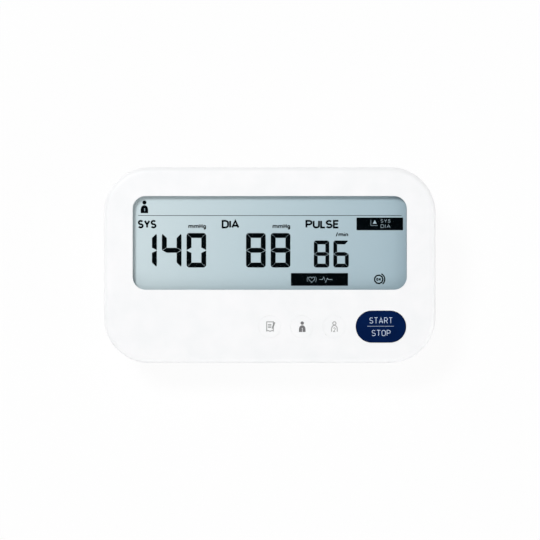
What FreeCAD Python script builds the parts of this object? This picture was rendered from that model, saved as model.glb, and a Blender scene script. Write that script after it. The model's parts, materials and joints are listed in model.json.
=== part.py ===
import FreeCAD, Part
import math
import operator
import os
from types import SimpleNamespace

import Sketcher
from FreeCAD import Placement, Rotation, Vector

# A desk-top blood pressure monitor whose face is tilted up towards the reader.
# Millimetres and degrees. x runs to the right, y away from the reader and z up, and the
# origin is on the table under the middle of the monitor. Pieces that follow the face are
# made in face coordinates instead: x across, y up the slope, z out of the face from its
# middle, so a depth below the face is a negative z.

SIZES = {
    # case
    "face_width": 180.0,
    "face_length": 106.3,
    "face_tilt": 15.0,
    "face_forward": 5.67,  # how far the middle of the face is in front of the origin
    "front_height": 33.0,  # height of the face's front edge above the table
    "corner_radius": 25.0,
    "edge_round": 3.0,
    "wall": 2.4,
    "skirt_depth": 13.0,  # depth of the upper case, down to the parting line
    "draft": 5.0,  # inward lean of the lower case's walls
    "base_lift": 2.0,  # gap that the feet leave between the base and the table
    "base_bevel": 2.4,
    "tongue_thick": 1.0,
    "tongue_depth": 1.8,
    "tongue_gap": 0.1,
    # screws that hold the case together
    "case_screw_end": 23.15,  # distance of the screws from the face's front and rear edges
    "case_boss_radius": 2.8,
    "case_boss_depth": 22.0,  # how far below the face the bosses end
    "screw_seat": 2.0,
    "screw_well_radius": 3.2,
    "screw_well_wall": 1.3,
    "screw_radius": 1.2,
    "screw_head_radius": 2.75,
    "screw_head_height": 1.9,
    "screw_bite": 9.0,
    "screw_gap": 0.05,
    # window and display
    "window_side": 15.75,  # width of the face left and right of the window
    "window_head": 15.7,  # from the face's rear edge to the window
    "window_foot": 39.8,  # from the face's front edge to the window
    "window_radius": 7.0,
    "window_frame": 1.2,  # thickness of the case over the lens's border
    "lens_border": 1.8,
    "lens_gap": 0.15,
    "lens_thick": 1.5,
    "tape_thick": 0.2,
    "display_gap": 0.5,  # between the lens and the polariser
    "glass_side": 0.35,  # how far the glass reaches past the window, on each side
    "glass_head": 1.85,
    "glass_foot": 6.65,
    "glass_thick": 1.1,
    "glass_ledge": 3.5,  # contact ledge of the front glass beyond the rear glass
    "film_thick": 0.2,
    "film_inset": 0.3,
    "reflector_thick": 0.3,
    "frame_gap": 0.2,
    "frame_wall": 0.8,
    "frame_floor": 1.0,
    "zebra_width": 2.0,
    "zebra_short": 4.6,
    "zebra_inset": 0.8,
    # main board
    "board_head": 6.15,  # distance of the board's upper edge from the face's edge
    "board_foot": 5.15,
    "board_radius": 10.0,
    "board_depth": 9.0,  # of the board's upper side below the face
    "board_thick": 1.6,
    # hooks that hold the board under the face
    "hook_width": 5.0,
    "hook_thick": 1.2,
    "hook_gap": 0.2,
    "hook_shoulder": 1.5,
    "hook_catch": 0.8,
    "hook_nose": 1.7,
    # keys
    "key_end": 19.85,  # from the face's front edge to the middle of the keys
    "start_to_boss": 1.1,
    "start_width": 27.0,
    "start_length": 17.0,
    "start_proud": 0.5,
    "start_gap": 0.2,
    "start_bevel": 0.35,
    "start_travel_room": 0.8,
    "round_key_radius": 6.0,
    "round_key_gap": 0.12,
    "round_key_pitch": 17.4,
    "start_to_round_key": 11.9,  # from the long key's end to the middle of the next key
    "key_flange": 1.2,
    "key_flange_thick": 1.0,
    "key_flange_gap": 0.1,
    "key_ear_width": 5.0,
    "key_stem": 4.0,
    "switch_width": 6.0,
    "switch_height": 3.5,
    "switch_bore": 3.8,
    "switch_floor": 1.0,
    "plunger_width": 3.4,
    "plunger_gap": 0.1,
    # batteries and their cover
    "cell_radius": 7.25,
    "cell_body": 49.2,
    "cell_nub": 1.3,
    "cell_nub_radius": 2.75,
    "cell_gap": 0.3,  # between one cell and the next
    "bay_side": 1.05,  # between the outer cells and the bay's side walls
    "bay_to_rear": 10.1,  # from the bay's rear wall to the rear of the base
    "bay_wall": 1.6,
    "bay_roof_gap": 0.65,
    "bay_rib_width": 1.6,
    "bay_rib_depth": 2.6,
    "contact_thick": 0.5,
    "contact_side": 0.75,  # by which a contact is narrower than a cell, on each side
    "dimple_width": 5.0,
    "contact_height": 11.0,
    "positive_reach": 2.5,
    "negative_reach": 5.0,
    "leaf_thick": 0.4,
    "leaf_height": 6.0,
    "cover_thick": 2.2,
    "cover_gap": 0.3,
    "cover_ledge": 2.5,  # by which the cover overlaps the bay's edge
    "cover_tongue": 1.4,
    "cover_tongue_thick": 1.0,
    "cover_lip_height": 14.0,  # of the lip up the rear wall, above the table
    "grip_count": 7.0,
    "grip_pitch": 2.4,
    "grip_depth": 0.6,
    "grip_width": 26.0,
    # feet
    "foot_radius": 6.0,
    "foot_side": 24.0,  # from the case's side to the middle of a foot
    "foot_end": 16.0,
    # pump
    "pump_to_bay": 4.2,
    "motor_to_wall": 1.9,
    "air_z": 18.0,  # height of the pump's and sockets' axes
    "pump_head_width": 25.0,
    "pump_head_length": 20.0,
    "pump_head_round": 4.0,
    "pump_wall": 1.5,
    "motor_radius": 11.5,
    "motor_length": 27.0,
    "motor_wall": 0.9,
    "magnet_thick": 1.8,
    "armature_radius": 7.6,
    "armature_root": 3.0,
    "armature_length": 13.0,
    "shaft_radius": 1.0,
    "shaft_clearance": 0.05,
    "shaft_end_gap": 0.4,
    "crank_width": 6.0,
    "crank_thick": 3.0,
    "crank_pin_radius": 1.2,
    "crank_pin_offset": 3.0,
    "crank_pin_length": 4.0,
    "diaphragm_thick": 1.5,
    "diaphragm_hub": 3.0,
    "nozzle_radius": 1.5,
    "nozzle_length": 4.0,
    "cradle_thick": 2.4,
    "cradle_rise": 7.0,
    "cradle_gap": 0.1,
    # air path
    "manifold_width": 12.0,
    "manifold_length": 20.0,
    "manifold_height": 10.0,
    "manifold_port": 5.0,  # from the manifold's ends to the middles of its side ports
    "pump_tube_length": 9.0,
    "valve_tube_length": 8.0,
    "tube_radius": 2.6,
    "tube_gap": 0.05,
    "tube_end_gap": 0.5,
    "leak_valve_radius": 4.0,
    "leak_valve_length": 8.0,
    "valve_width": 12.0,
    "valve_length": 18.0,
    "valve_height": 11.0,
    "valve_plate": 1.2,
    "valve_coil_radius": 4.4,
    "valve_core_radius": 1.6,
    "valve_core_gap": 0.15,
    "valve_core_out": 2.0,
    "valve_tip_gap": 0.2,
    "sensor_size": 9.0,
    "sensor_height": 4.0,
    "sensor_nozzle": 2.8,
    # sockets
    "socket_sink": 1.0,  # depth of the flat spot that a socket's flange sits on
    "flange_reach": 1.2,
    "air_bore": 4.0,
    "air_bore_depth": 10.0,
    "air_jack_radius": 5.5,
    "air_jack_length": 11.4,
    "flange_thick": 1.5,
    "socket_gap": 0.1,
    "power_bore": 2.85,
    "power_bore_depth": 9.0,
    "power_jack_radius": 4.6,
    "power_jack_length": 12.0,
    "power_pin_length": 8.0,
    "power_pin_radius": 0.8,
    # parts on the underside of the board
    "chip_size": 12.0,
    "chip_height": 1.4,
    "memory_length": 5.0,
    "memory_width": 4.0,
    "regulator_size": 6.5,
    "regulator_height": 2.3,
    "capacitor_radius": 3.2,
    "capacitor_height": 7.0,
    "capacitor_reach": 10.4,  # from the regulator's middle to a capacitor's
    "buzzer_radius": 6.0,
    "buzzer_height": 5.0,
    "connector_width": 10.0,
    "connector_depth": 5.0,
    "connector_height": 6.0,
    "connector_wall": 0.8,
    "connector_pitch": 2.0,
    "connector_pin": 4.2,
}

CELLS = 4
FRAME_LEGS = 4
PEG_SIDES = 12
MAGNET_ANGLES = (-54, -18, 18, 54)
POLE_ANGLES = (-36, 0, 36)
REAR_HOOKS = (-0.7, 0.7)  # places of the board's hooks, as shares of half its width
FRONT_HOOKS = (-0.7, 0.4)  # the right one stands clear of the long key
SUPPORT_PLACE = 0.75  # of the length of the motor or socket that a support carries
SHELF_SHARE = 0.75  # of what stands on a shelf
OPENING_SHARE = 0.65  # of the room between the display tray's bars

# Places of the parts under the board, in tenths of its width and in chip widths.
BOARD_PLACES = {
    "microcontroller": (1, 1),
    "memory_chip": (2, 1),
    "voltage_regulator": (3.4, 0),
    "buzzer": (3, -2.2),
    "battery_connector": (-1, -2),
    "pump_connector": (-2.2, 2.4),
}
NODES = []
DOCUMENT = FreeCAD.newDocument("Monitor")


class Size:
    """A value together with the spreadsheet expression that gives it."""

    def __init__(self, value, text):
        self.value = value
        self.text = text

    def __add__(self, other):
        return combine(operator.add, self, "+", other)

    def __radd__(self, other):
        return combine(operator.add, other, "+", self)

    def __sub__(self, other):
        return combine(operator.sub, self, "-", other)

    def __rsub__(self, other):
        return combine(operator.sub, other, "-", self)

    def __mul__(self, other):
        return combine(operator.mul, self, "*", other)

    def __rmul__(self, other):
        return combine(operator.mul, other, "*", self)

    def __truediv__(self, other):
        return combine(operator.truediv, self, "/", other)

    def __neg__(self):
        return combine(operator.sub, 0, "-", self)


def as_size(number):
    """Let plain numbers take part in expressions."""
    return number if isinstance(number, Size) else Size(float(number), f"({float(number)})")


def combine(operation, left, sign, right):
    """Work out a value and write the same sum as an expression."""
    left = as_size(left)
    right = as_size(right)
    return Size(operation(left.value, right.value), f"({left.text} {sign} {right.text})")


def sine(angle):
    return Size(math.sin(math.radians(angle.value)), f"sin({angle.text})")


def cosine(angle):
    return Size(math.cos(math.radians(angle.value)), f"cos({angle.text})")


def tangent(angle):
    return Size(math.tan(math.radians(angle.value)), f"tan({angle.text})")


def fill_sheet():
    """Write the driving dimensions into the sheet and hand them back by name."""
    sheet = DOCUMENT.addObject("Spreadsheet::Sheet", "Sizes")
    for row, (name, value) in enumerate(SIZES.items(), start=1):
        sheet.set(f"A{row}", name)
        sheet.set(f"B{row}", str(value))
        sheet.setAlias(f"B{row}", name)
    DOCUMENT.recompute()
    return SimpleNamespace(**{name: Size(value, f"Sizes.{name}") for name, value in SIZES.items()})


s = fill_sheet()

half_width = s.face_width / 2
half_length = s.face_length / 2
slope_sine = sine(s.face_tilt)
slope_cosine = cosine(s.face_tilt)
face_y = -s.face_forward
face_z = s.front_height + half_length * slope_sine
beyond = s.face_width  # longer than any cut needs to be
floor_top = s.base_lift + s.wall
window_width = s.face_width - s.window_side * 2
window_length = s.face_length - s.window_head - s.window_foot
window_y = (s.window_foot - s.window_head) / 2
case_screw_y = half_length - s.case_screw_end
key_y = s.key_end - half_length
case_screw_x = window_width / 2 + s.lens_border + s.lens_gap + s.case_boss_radius
lens_top = -(s.window_frame + s.tape_thick)
lens_bottom = lens_top - s.lens_thick
film_top = lens_bottom - s.display_gap
front_glass_top = film_top - s.film_thick
rear_glass_top = front_glass_top - s.glass_thick
reflector_top = rear_glass_top - s.glass_thick
frame_floor_top = reflector_top - s.reflector_thick
board_under = -(s.board_depth + s.board_thick)
glass_width = window_width + s.glass_side * 2
glass_length = window_length + s.glass_head + s.glass_foot
glass_top = window_y + window_length / 2 + s.glass_head
glass_y = glass_top - glass_length / 2
board_width = glass_width + (s.frame_gap + s.frame_wall) * 2
board_top = half_length - s.board_head
board_bottom = half_length - s.board_foot
zebra_length = glass_width - s.zebra_short * 2
start_right = case_screw_x - s.case_boss_radius - s.start_to_boss - s.key_flange - s.start_gap
start_x = start_right - s.start_width / 2
cell_pitch = s.cell_radius * 2 + s.cell_gap
cell_z = s.base_lift + s.cover_thick + s.cover_gap + s.cell_radius
bay_width = cell_pitch * (CELLS - 1) + s.cell_radius * 2 + s.bay_side * 2
bay_length = s.positive_reach + s.negative_reach + s.cell_body + s.cell_nub
bay_roof = cell_z + s.cell_radius + s.bay_roof_gap
contact_width = (s.cell_radius - s.contact_side) * 2
cover_width = bay_width + s.cover_ledge * 2
cover_top = s.base_lift + s.cover_thick
ledge_z = cover_top + s.cover_gap
tongue_reach = cover_width / 2 + s.cover_tongue
recess_reach = tongue_reach + s.cover_gap + s.bay_wall


def row_y(y, z):
    """Distance from front to back of a point given in face coordinates."""
    return face_y + y * slope_cosine - z * slope_sine


def row_z(y, z):
    """Height above the table of a point given in face coordinates."""
    return face_z + y * slope_sine + z * slope_cosine


def face_y_of(y, z):
    """The face coordinate up the slope of a point given from the origin."""
    return (y - face_y) * slope_cosine + (z - face_z) * slope_sine


def face_z_of(y, z):
    """The face coordinate out of the face of a point given from the origin."""
    return (z - face_z) * slope_cosine - (y - face_y) * slope_sine


def rear_wall_y(height):
    """Distance from the origin of the lower case's rear face at a height above the table."""
    lean = tangent(s.draft)
    foot = half_length + s.skirt_depth * lean
    depth = (height - face_z - foot * slope_sine) / (slope_cosine + lean * slope_sine)
    return row_y(foot + depth * lean, depth)


def base_y(y):
    """Where a line square to the face, from a place up the slope, meets the base."""
    return face_y + y / slope_cosine + (face_z - s.base_lift) * tangent(s.face_tilt)


bay_rear = rear_wall_y(s.base_lift) - s.bay_to_rear
bay_front = bay_rear - bay_length
cover_front = bay_front - s.cover_ledge
air_x = -(recess_reach + s.pump_to_bay + s.pump_head_width / 2)
motor_end = rear_wall_y(s.air_z + s.motor_radius) - s.wall - s.motor_to_wall
motor_y = motor_end - s.motor_length
pump_y = motor_y - s.pump_head_length
manifold_rear = pump_y - s.pump_tube_length - s.tube_end_gap * 2
manifold_front = manifold_rear - s.manifold_length
socket_y = manifold_rear - s.manifold_port
valve_y = manifold_front + s.manifold_port
manifold_y = (manifold_rear + manifold_front) / 2


def bind(thing, path, size):
    """Tie one property to the sheet."""
    thing.setExpression(path, as_size(size).text)


def place(thing, x=0, y=0, z=0, axis=None, angle=0):
    """Put a piece at a point, turned about an axis if one is given."""
    at = [as_size(value) for value in (x, y, z)]
    turn = as_size(angle)
    spin = Rotation(axis, turn.value) if axis else Rotation()
    thing.Placement = Placement(Vector(*[value.value for value in at]), spin)
    for letter, value in zip("xyz", at):
        bind(thing, f"Placement.Base.{letter}", value)
    if isinstance(angle, Size):
        bind(thing, "Placement.Rotation.Angle", turn)
    return thing


def on_face(thing):
    """Place a piece that was made in face coordinates."""
    return place(thing, 0, face_y, face_z, Vector(1, 0, 0), s.face_tilt)


def node(label, thing):
    """Name a finished sub-part and list it for writing."""
    thing.Label = label
    NODES.append(thing)
    return thing


# Sketches and features


def new_body(name):
    return DOCUMENT.addObject("PartDesign::Body", name)


def sketch(body, height=0, role="XY_Plane"):
    """A sketch on one of the body's own planes, or above it by a height."""
    plane = next(item for item in body.Origin.OriginFeatures if item.Role == role)
    made = body.newObject("Sketcher::SketchObject", "Sketch")
    made.AttachmentSupport = (plane, [""])
    made.MapMode = "FlatFace"
    bind(made, "AttachmentOffset.Base.z", height)
    return made


def face_sketch(body, depth):
    """A sketch parallel to the face, in a body that is made in the monitor's own frame."""
    made = sketch(body)
    made.AttachmentOffset = Placement(Vector(), Rotation(Vector(1, 0, 0), s.face_tilt.value))
    bind(made, "AttachmentOffset.Base.y", row_y(as_size(0), depth))
    bind(made, "AttachmentOffset.Base.z", row_z(as_size(0), depth))
    bind(made, "AttachmentOffset.Rotation.Angle", s.face_tilt)
    return made


def hold(drawing, kind, where, size):
    """Add one dimension to a sketch and tie it to the sheet."""
    size = as_size(size)
    index = drawing.addConstraint(Sketcher.Constraint(kind, *where, size.value))
    drawing.setExpression(f"Constraints[{index}]", size.text)


def hold_point(drawing, item, end, x, y):
    """Dimension a point of the sketch from the sketch's origin."""
    hold(drawing, "DistanceX", (-1, 1, item, end), x)
    hold(drawing, "DistanceY", (-1, 1, item, end), y)


def circle(drawing, x, y, radius):
    centre = Vector(as_size(x).value, as_size(y).value, 0)
    item = drawing.addGeometry(Part.Circle(centre, Vector(0, 0, 1), as_size(radius).value))
    hold_point(drawing, item, 3, x, y)
    hold(drawing, "Radius", (item,), radius)


def polygon(drawing, points):
    """A closed outline of straight lines."""
    spots = [Vector(as_size(x).value, as_size(y).value, 0) for x, y in points]
    count = len(spots)
    first = drawing.addGeometry(
        [Part.LineSegment(spots[item], spots[(item + 1) % count]) for item in range(count)]
    )[0]
    for item, (x, y) in enumerate(points):
        following = first + (item + 1) % count
        drawing.addConstraint(Sketcher.Constraint("Coincident", first + item, 2, following, 1))
        hold_point(drawing, first + item, 1, x, y)


def on_circle(radius, angle):
    """A point on a circle about the origin."""
    return radius * math.cos(math.radians(angle)), radius * math.sin(math.radians(angle))


def peg_outline(drawing, x, y, radius):
    """The outline of a hole for a peg."""
    step = 360 / PEG_SIDES
    corners = [on_circle(radius, number * step) for number in range(PEG_SIDES)]
    polygon(drawing, [(x + across, y + along) for across, along in corners])


def rectangle(drawing, x, y, width, length):
    """A plain rectangle about its middle."""
    left, right = x - width / 2, x + width / 2
    low, high = y - length / 2, y + length / 2
    polygon(drawing, ((left, low), (right, low), (right, high), (left, high)))


def rounded_rectangle(drawing, x, y, width, length, radius):
    """A rectangle about its middle with four equal round corners."""
    left, right = x - width / 2, x + width / 2
    low, high = y - length / 2, y + length / 2
    corners = (
        (right - radius, low + radius, -90),
        (right - radius, high - radius, 0),
        (left + radius, high - radius, 90),
        (left + radius, low + radius, 180),
    )
    arcs = [
        Part.ArcOfCircle(
            Part.Circle(Vector(a.value, b.value, 0), Vector(0, 0, 1), as_size(radius).value),
            math.radians(start),
            math.radians(start + 90),
        )
        for a, b, start in corners
    ]
    lines = [Part.LineSegment(arcs[turn - 1].EndPoint, arcs[turn].StartPoint) for turn in range(4)]
    pieces = [item for pair in zip(lines, arcs) for item in pair]
    first = drawing.addGeometry(pieces)[0]
    for item in range(8):
        following = first + (item + 1) % 8
        drawing.addConstraint(Sketcher.Constraint("Tangent", first + item, 2, following, 1))
    for item in (2, 4, 6):
        drawing.addConstraint(Sketcher.Constraint("Equal", first + 1, first + item + 1))
    drawing.addConstraint(Sketcher.Constraint("Horizontal", first))
    drawing.addConstraint(Sketcher.Constraint("Vertical", first + 2))
    drawing.addConstraint(Sketcher.Constraint("Horizontal", first + 4))
    hold(drawing, "Radius", (first + 1,), radius)
    hold_point(drawing, first + 1, 3, right - radius, low + radius)
    hold_point(drawing, first + 5, 3, left + radius, high - radius)


def slot(drawing, x, y, width, length):
    """An outline with straight long sides and round ends, about its middle."""
    radius = length / 2
    right, left = x + width / 2 - radius, x - width / 2 + radius
    arcs = [
        Part.ArcOfCircle(
            Part.Circle(Vector(middle.value, as_size(y).value, 0), Vector(0, 0, 1), radius.value),
            math.radians(start),
            math.radians(start + 180),
        )
        for middle, start in ((right, -90), (left, 90))
    ]
    lines = [Part.LineSegment(arcs[turn - 1].EndPoint, arcs[turn].StartPoint) for turn in range(2)]
    pieces = [item for pair in zip(lines, arcs) for item in pair]
    first = drawing.addGeometry(pieces)[0]
    for item in range(4):
        following = first + (item + 1) % 4
        drawing.addConstraint(Sketcher.Constraint("Tangent", first + item, 2, following, 1))
    drawing.addConstraint(Sketcher.Constraint("Equal", first + 1, first + 3))
    hold(drawing, "Radius", (first + 1,), radius)
    hold_point(drawing, first + 1, 3, right, y)
    hold_point(drawing, first + 3, 3, left, y)


def pad(body, drawing, length, down=False, taper=None):
    """Add material on a sketch, upwards or downwards."""
    made = body.newObject("PartDesign::Pad", "Pad")
    made.Profile = drawing
    made.Reversed = down
    bind(made, "Length", length)
    if taper:
        bind(made, "TaperAngle", taper)
    return made


def pocket(body, drawing, length, up=False):
    """Cut into the body from a sketch, downwards or upwards."""
    made = body.newObject("PartDesign::Pocket", "Pocket")
    made.Profile = drawing
    made.Reversed = up
    bind(made, "Length", length)
    return made


def pocket_both_ways(body, drawing):
    made = body.newObject("PartDesign::Pocket", "Pocket")
    made.Profile = drawing
    made.Type = "ThroughAll"
    made.SideType = "Symmetric"
    return made


def revolve(body, drawing, axis="V_Axis"):
    """Turn a sketched profile about one of the sketch's own axes."""
    made = body.newObject("PartDesign::Revolution", "Revolution")
    made.Profile = drawing
    made.ReferenceAxis = (drawing, [axis])
    made.Angle = 360
    return made


def edges_at(body, height):
    """Names of the edges of the body's last feature that lie flat at one height."""
    DOCUMENT.recompute()
    level = as_size(height).value
    names = []
    for number, edge in enumerate(body.Tip.Shape.Edges, start=1):
        box = edge.BoundBox
        if abs(box.ZMin - level) < 1e-4 and abs(box.ZMax - level) < 1e-4:
            names.append(f"Edge{number}")
    return names


def fillet_level(body, height, radius):
    """Round every edge of the body that lies flat at one height."""
    names = edges_at(body, height)
    made = body.newObject("PartDesign::Fillet", "Fillet")
    made.Base = (made.BaseFeature, names)
    bind(made, "Radius", radius)
    return made


def bevel_level(body, height, size):
    """Bevel every edge of the body that lies flat at one height."""
    names = edges_at(body, height)
    made = body.newObject("PartDesign::Chamfer", "Chamfer")
    made.Base = (made.BaseFeature, names)
    bind(made, "Size", size)
    return made


# Primitives and booleans


def box(x, y, z, width, length, height):
    """A block given by the middle of its underside."""
    made = DOCUMENT.addObject("Part::Box", "Block")
    bind(made, "Length", width)
    bind(made, "Width", length)
    bind(made, "Height", height)
    return place(made, x - as_size(width) / 2, y - as_size(length) / 2, z)


def cylinder(x, y, z, radius, length, axis=None, angle=0):
    """A round bar from one end, upright unless it is turned about an axis."""
    made = DOCUMENT.addObject("Part::Cylinder", "Bar")
    bind(made, "Radius", radius)
    bind(made, "Height", length)
    return place(made, x, y, z, axis, angle)


def peg(x, y, z, radius, length, axis=None, angle=0):
    """A thin bar with twelve flats, for small round parts that repeat."""
    made = DOCUMENT.addObject("Part::Prism", "Peg")
    made.Polygon = PEG_SIDES
    bind(made, "Circumradius", radius)
    bind(made, "Height", length)
    return place(made, x, y, z, axis, angle)


def bar_along_x(x, y, z, radius, length):
    return cylinder(x, y, z, radius, length, Vector(0, 1, 0), 90)


def bar_along_y(x, y, z, radius, length):
    return cylinder(x, y, z, radius, length, Vector(1, 0, 0), -90)


def bar_out_of_face(x, y, z, radius, length):
    """A bar square to the face, from a point given in face coordinates."""
    return cylinder(x, row_y(y, z), row_z(y, z), radius, length, Vector(1, 0, 0), s.face_tilt)


def fuse(*things):
    made = DOCUMENT.addObject("Part::MultiFuse", "Join")
    made.Shapes = list(things)
    return made


def cut(base, *tools):
    made = DOCUMENT.addObject("Part::Cut", "Cut")
    made.Base = base
    made.Tool = tools[0] if len(tools) == 1 else fuse(*tools)
    return made


def common(first, second):
    made = DOCUMENT.addObject("Part::MultiCommon", "Overlap")
    made.Shapes = [first, second]
    return made


def group(*things):
    """Several separate solids in one sub-part."""
    made = DOCUMENT.addObject("Part::Compound", "Group")
    made.Links = list(things)
    return made


# Case


def case_screw_places():
    return [(x * case_screw_x, y * case_screw_y) for x in (-1, 1) for y in (-1, 1)]


def round_keys():
    """Name and place of each small key, from the left."""
    names = ("memory", "user_1", "user_2")
    last = start_x - s.start_width / 2 - s.start_to_round_key
    return [
        (name, last - s.round_key_pitch * (len(names) - 1 - number))
        for number, name in enumerate(names)
    ]


def outline(drawing, inset):
    """The case's outline, smaller all round by an inset."""
    rounded_rectangle(
        drawing,
        as_size(0),
        as_size(0),
        s.face_width - inset * 2,
        s.face_length - inset * 2,
        s.corner_radius - inset,
    )


def make_upper_case():
    """Face, skirt, window, key holes, screw bosses and the hooks that hold the board."""
    body = new_body("UpperCase")
    parting = -s.skirt_depth
    base = sketch(body, parting)
    outline(base, 0)
    pad(body, base, s.skirt_depth)
    fillet_level(body, 0, s.edge_round)
    inside = sketch(body, parting)
    outline(inside, s.wall)
    pocket(body, inside, s.skirt_depth - s.wall, up=True)
    tongue = sketch(body, parting)
    outline(tongue, s.wall - s.tongue_thick)
    outline(tongue, s.wall)
    pad(body, tongue, s.tongue_depth, down=True)
    add_bosses(body)
    cut_openings(body)
    for x in REAR_HOOKS:
        add_hook(body, x * board_width / 2, board_top, 1)
    for x in FRONT_HOOKS:
        add_hook(body, x * board_width / 2, -board_bottom, -1)
    node("upper_case", on_face(body))


def cut_openings(body):
    """The window with the lens's seat behind it, and the holes for the keys."""
    window = sketch(body)
    rounded_rectangle(window, as_size(0), window_y, window_width, window_length, s.window_radius)
    gap = s.start_gap * 2
    slot(window, start_x, key_y, s.start_width + gap, s.start_length + gap)
    for _, x in round_keys():
        circle(window, x, key_y, s.round_key_radius + s.round_key_gap)
    pocket(body, window, s.wall)
    seat = sketch(body, -s.wall)
    reach = s.lens_border + s.lens_gap
    rounded_rectangle(
        seat,
        as_size(0),
        window_y,
        window_width + reach * 2,
        window_length + reach * 2,
        s.window_radius + reach,
    )
    pocket(body, seat, s.wall - s.window_frame, up=True)


def add_bosses(body):
    """Four long bosses under the face, each with a blind hole for a case screw."""
    low = -s.case_boss_depth
    bosses = sketch(body, low)
    holes = sketch(body, low)
    for x, y in case_screw_places():
        circle(bosses, x, y, s.case_boss_radius)
        peg_outline(holes, x, y, s.screw_radius + s.screw_gap)
    pad(body, bosses, s.case_boss_depth - s.wall)
    pocket(body, holes, s.screw_bite + s.screw_gap * 4, up=True)


def add_hook(body, x, edge, outward):
    """A springy hook down from the face round one edge of the board."""
    inner = edge - s.hook_shoulder * outward
    clear = edge + s.hook_gap * outward
    outer = clear + s.hook_thick * outward
    catch = edge - s.hook_catch * outward
    catch_z = board_under - s.hook_gap / 2
    profile = sketch(body, x - s.hook_width / 2, "YZ_Plane")
    polygon(
        profile,
        (
            (inner, -s.wall),
            (inner, -s.board_depth),
            (clear, -s.board_depth),
            (clear, catch_z),
            (catch, catch_z),
            (clear, catch_z - s.hook_nose),
            (outer, catch_z - s.hook_nose),
            (outer, -s.wall),
        ),
    )
    pad(body, profile, s.hook_width)


def case_form(name, inset, floor):
    """The solid form of the lower case above a level floor, smaller by an inset."""
    body = new_body(name)
    top = face_sketch(body, -s.skirt_depth)
    outline(top, inset)
    pad(body, top, s.front_height + s.face_length * slope_sine, down=True, taper=-s.draft)
    below = sketch(body, role="YZ_Plane")
    polygon(below, ((-beyond, floor), (-beyond, -beyond), (beyond, -beyond), (beyond, floor)))
    pocket_both_ways(body, below)
    return body


def tongue_room():
    """The step in the lower case's rim that takes the upper case's tongue."""
    body = new_body("TongueRoom")
    rim = face_sketch(body, -s.skirt_depth)
    outline(rim, s.wall - s.tongue_thick - s.tongue_gap)
    pad(body, rim, s.tongue_depth + s.tongue_gap, down=True)
    return body


def socket_seat():
    """Distance from the middle of the flat spots that the sockets' flanges sit on."""
    lean = (face_z_of(socket_y, s.air_z) + s.skirt_depth) * tangent(s.draft)
    return half_width + lean - s.socket_sink


def screw_towers():
    """Square towers under the bosses, to be trimmed to the case's outside."""
    width = (s.screw_well_radius + s.screw_well_wall) * 2
    towers = [
        box(x, y, -beyond, width, width, beyond - s.case_boss_depth) for x, y in case_screw_places()
    ]
    return on_face(fuse(*towers))


def screw_rooms():
    """Round wells for the screws' heads, and the holes that their shanks go through."""
    seat = s.case_boss_depth + s.screw_seat
    shank = s.screw_radius + s.screw_gap * 4
    rooms = []
    for x, y in case_screw_places():
        rooms.append(cylinder(x, y, -beyond, s.screw_well_radius, beyond - seat))
        rooms.append(peg(x, y, -seat * 2, shank, seat * 2))
    return on_face(fuse(*rooms))


def long_box(front, low, width, high):
    """A block from a place in front, out past the rear of the case."""
    return box(0, front + beyond / 2, low, width, beyond, high - low)


def bay_walls():
    """The blocks that the battery bay and the cover's recess are cut from."""
    wall = s.bay_wall
    bay_middle = (bay_rear + bay_front) / 2
    height = bay_roof + wall - s.base_lift
    bay = box(0, bay_middle, s.base_lift, bay_width + wall * 2, bay_length + wall * 2, height)
    front = cover_front - s.cover_gap - wall
    recess = long_box(front, s.base_lift, recess_reach * 2, ledge_z + wall)
    lip = long_box(
        bay_rear, s.base_lift, recess_reach * 2, s.cover_lip_height + s.cover_gap + wall
    )
    return [bay, recess, lip]


def bay_rooms():
    """The space of the bay, of the cover's recess with its grooves, and of the cover's lip."""
    gap = s.cover_gap
    groove_low = cover_top - s.cover_tongue_thick - gap
    groove_width = (tongue_reach + gap) * 2
    return [
        box(0, (bay_rear + bay_front) / 2, 0, bay_width, bay_length, bay_roof),
        long_box(cover_front - gap, 0, cover_width + gap * 2, ledge_z),
        long_box(cover_front - gap, groove_low, groove_width, ledge_z),
        long_box(bay_rear + s.bay_wall, 0, groove_width, s.cover_lip_height + gap),
    ]


def bay_ribs():
    """Ribs under the bay's roof that keep the cells apart."""
    middle = (bay_rear + bay_front) / 2
    low = bay_roof - s.bay_rib_depth
    length = bay_length / 2
    return [
        box(cell_pitch * number, middle, low, s.bay_rib_width, length, s.bay_rib_depth)
        for number in (-1, 0, 1)
    ]


def pump_supports():
    """A square rib under the pump's head and a rib with a round seat under its motor."""
    head_low = s.air_z - s.pump_head_width / 2
    head_y = pump_y + s.pump_head_length / 2
    head_rib = box(
        air_x, head_y, s.base_lift, s.pump_head_width, s.cradle_thick, head_low - s.base_lift
    )
    y = motor_y + s.motor_length * SUPPORT_PLACE
    height = s.air_z - s.motor_radius + s.cradle_rise - s.base_lift
    rib = box(air_x, y, s.base_lift, s.motor_radius * 2 + s.cradle_thick, s.cradle_thick, height)
    radius = s.motor_radius + s.cradle_gap
    seat = bar_along_y(air_x, y - s.cradle_thick, s.air_z, radius, s.cradle_thick * 2)
    return [head_rib, cut(rib, seat)]


def valve_shelf():
    """The raised pad under the exhaust valve."""
    top = s.air_z - s.valve_height / 2
    length = s.valve_length * SHELF_SHARE
    return box(valve_middle_x(), valve_y, s.base_lift, length, s.valve_width, top - s.base_lift)


def manifold_shelf():
    """The block under the air manifold."""
    top = s.air_z - s.manifold_height / 2
    width = s.manifold_width * SHELF_SHARE
    length = s.manifold_length * SHELF_SHARE
    return box(air_x, manifold_y, s.base_lift, width, length, top - s.base_lift)


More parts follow.
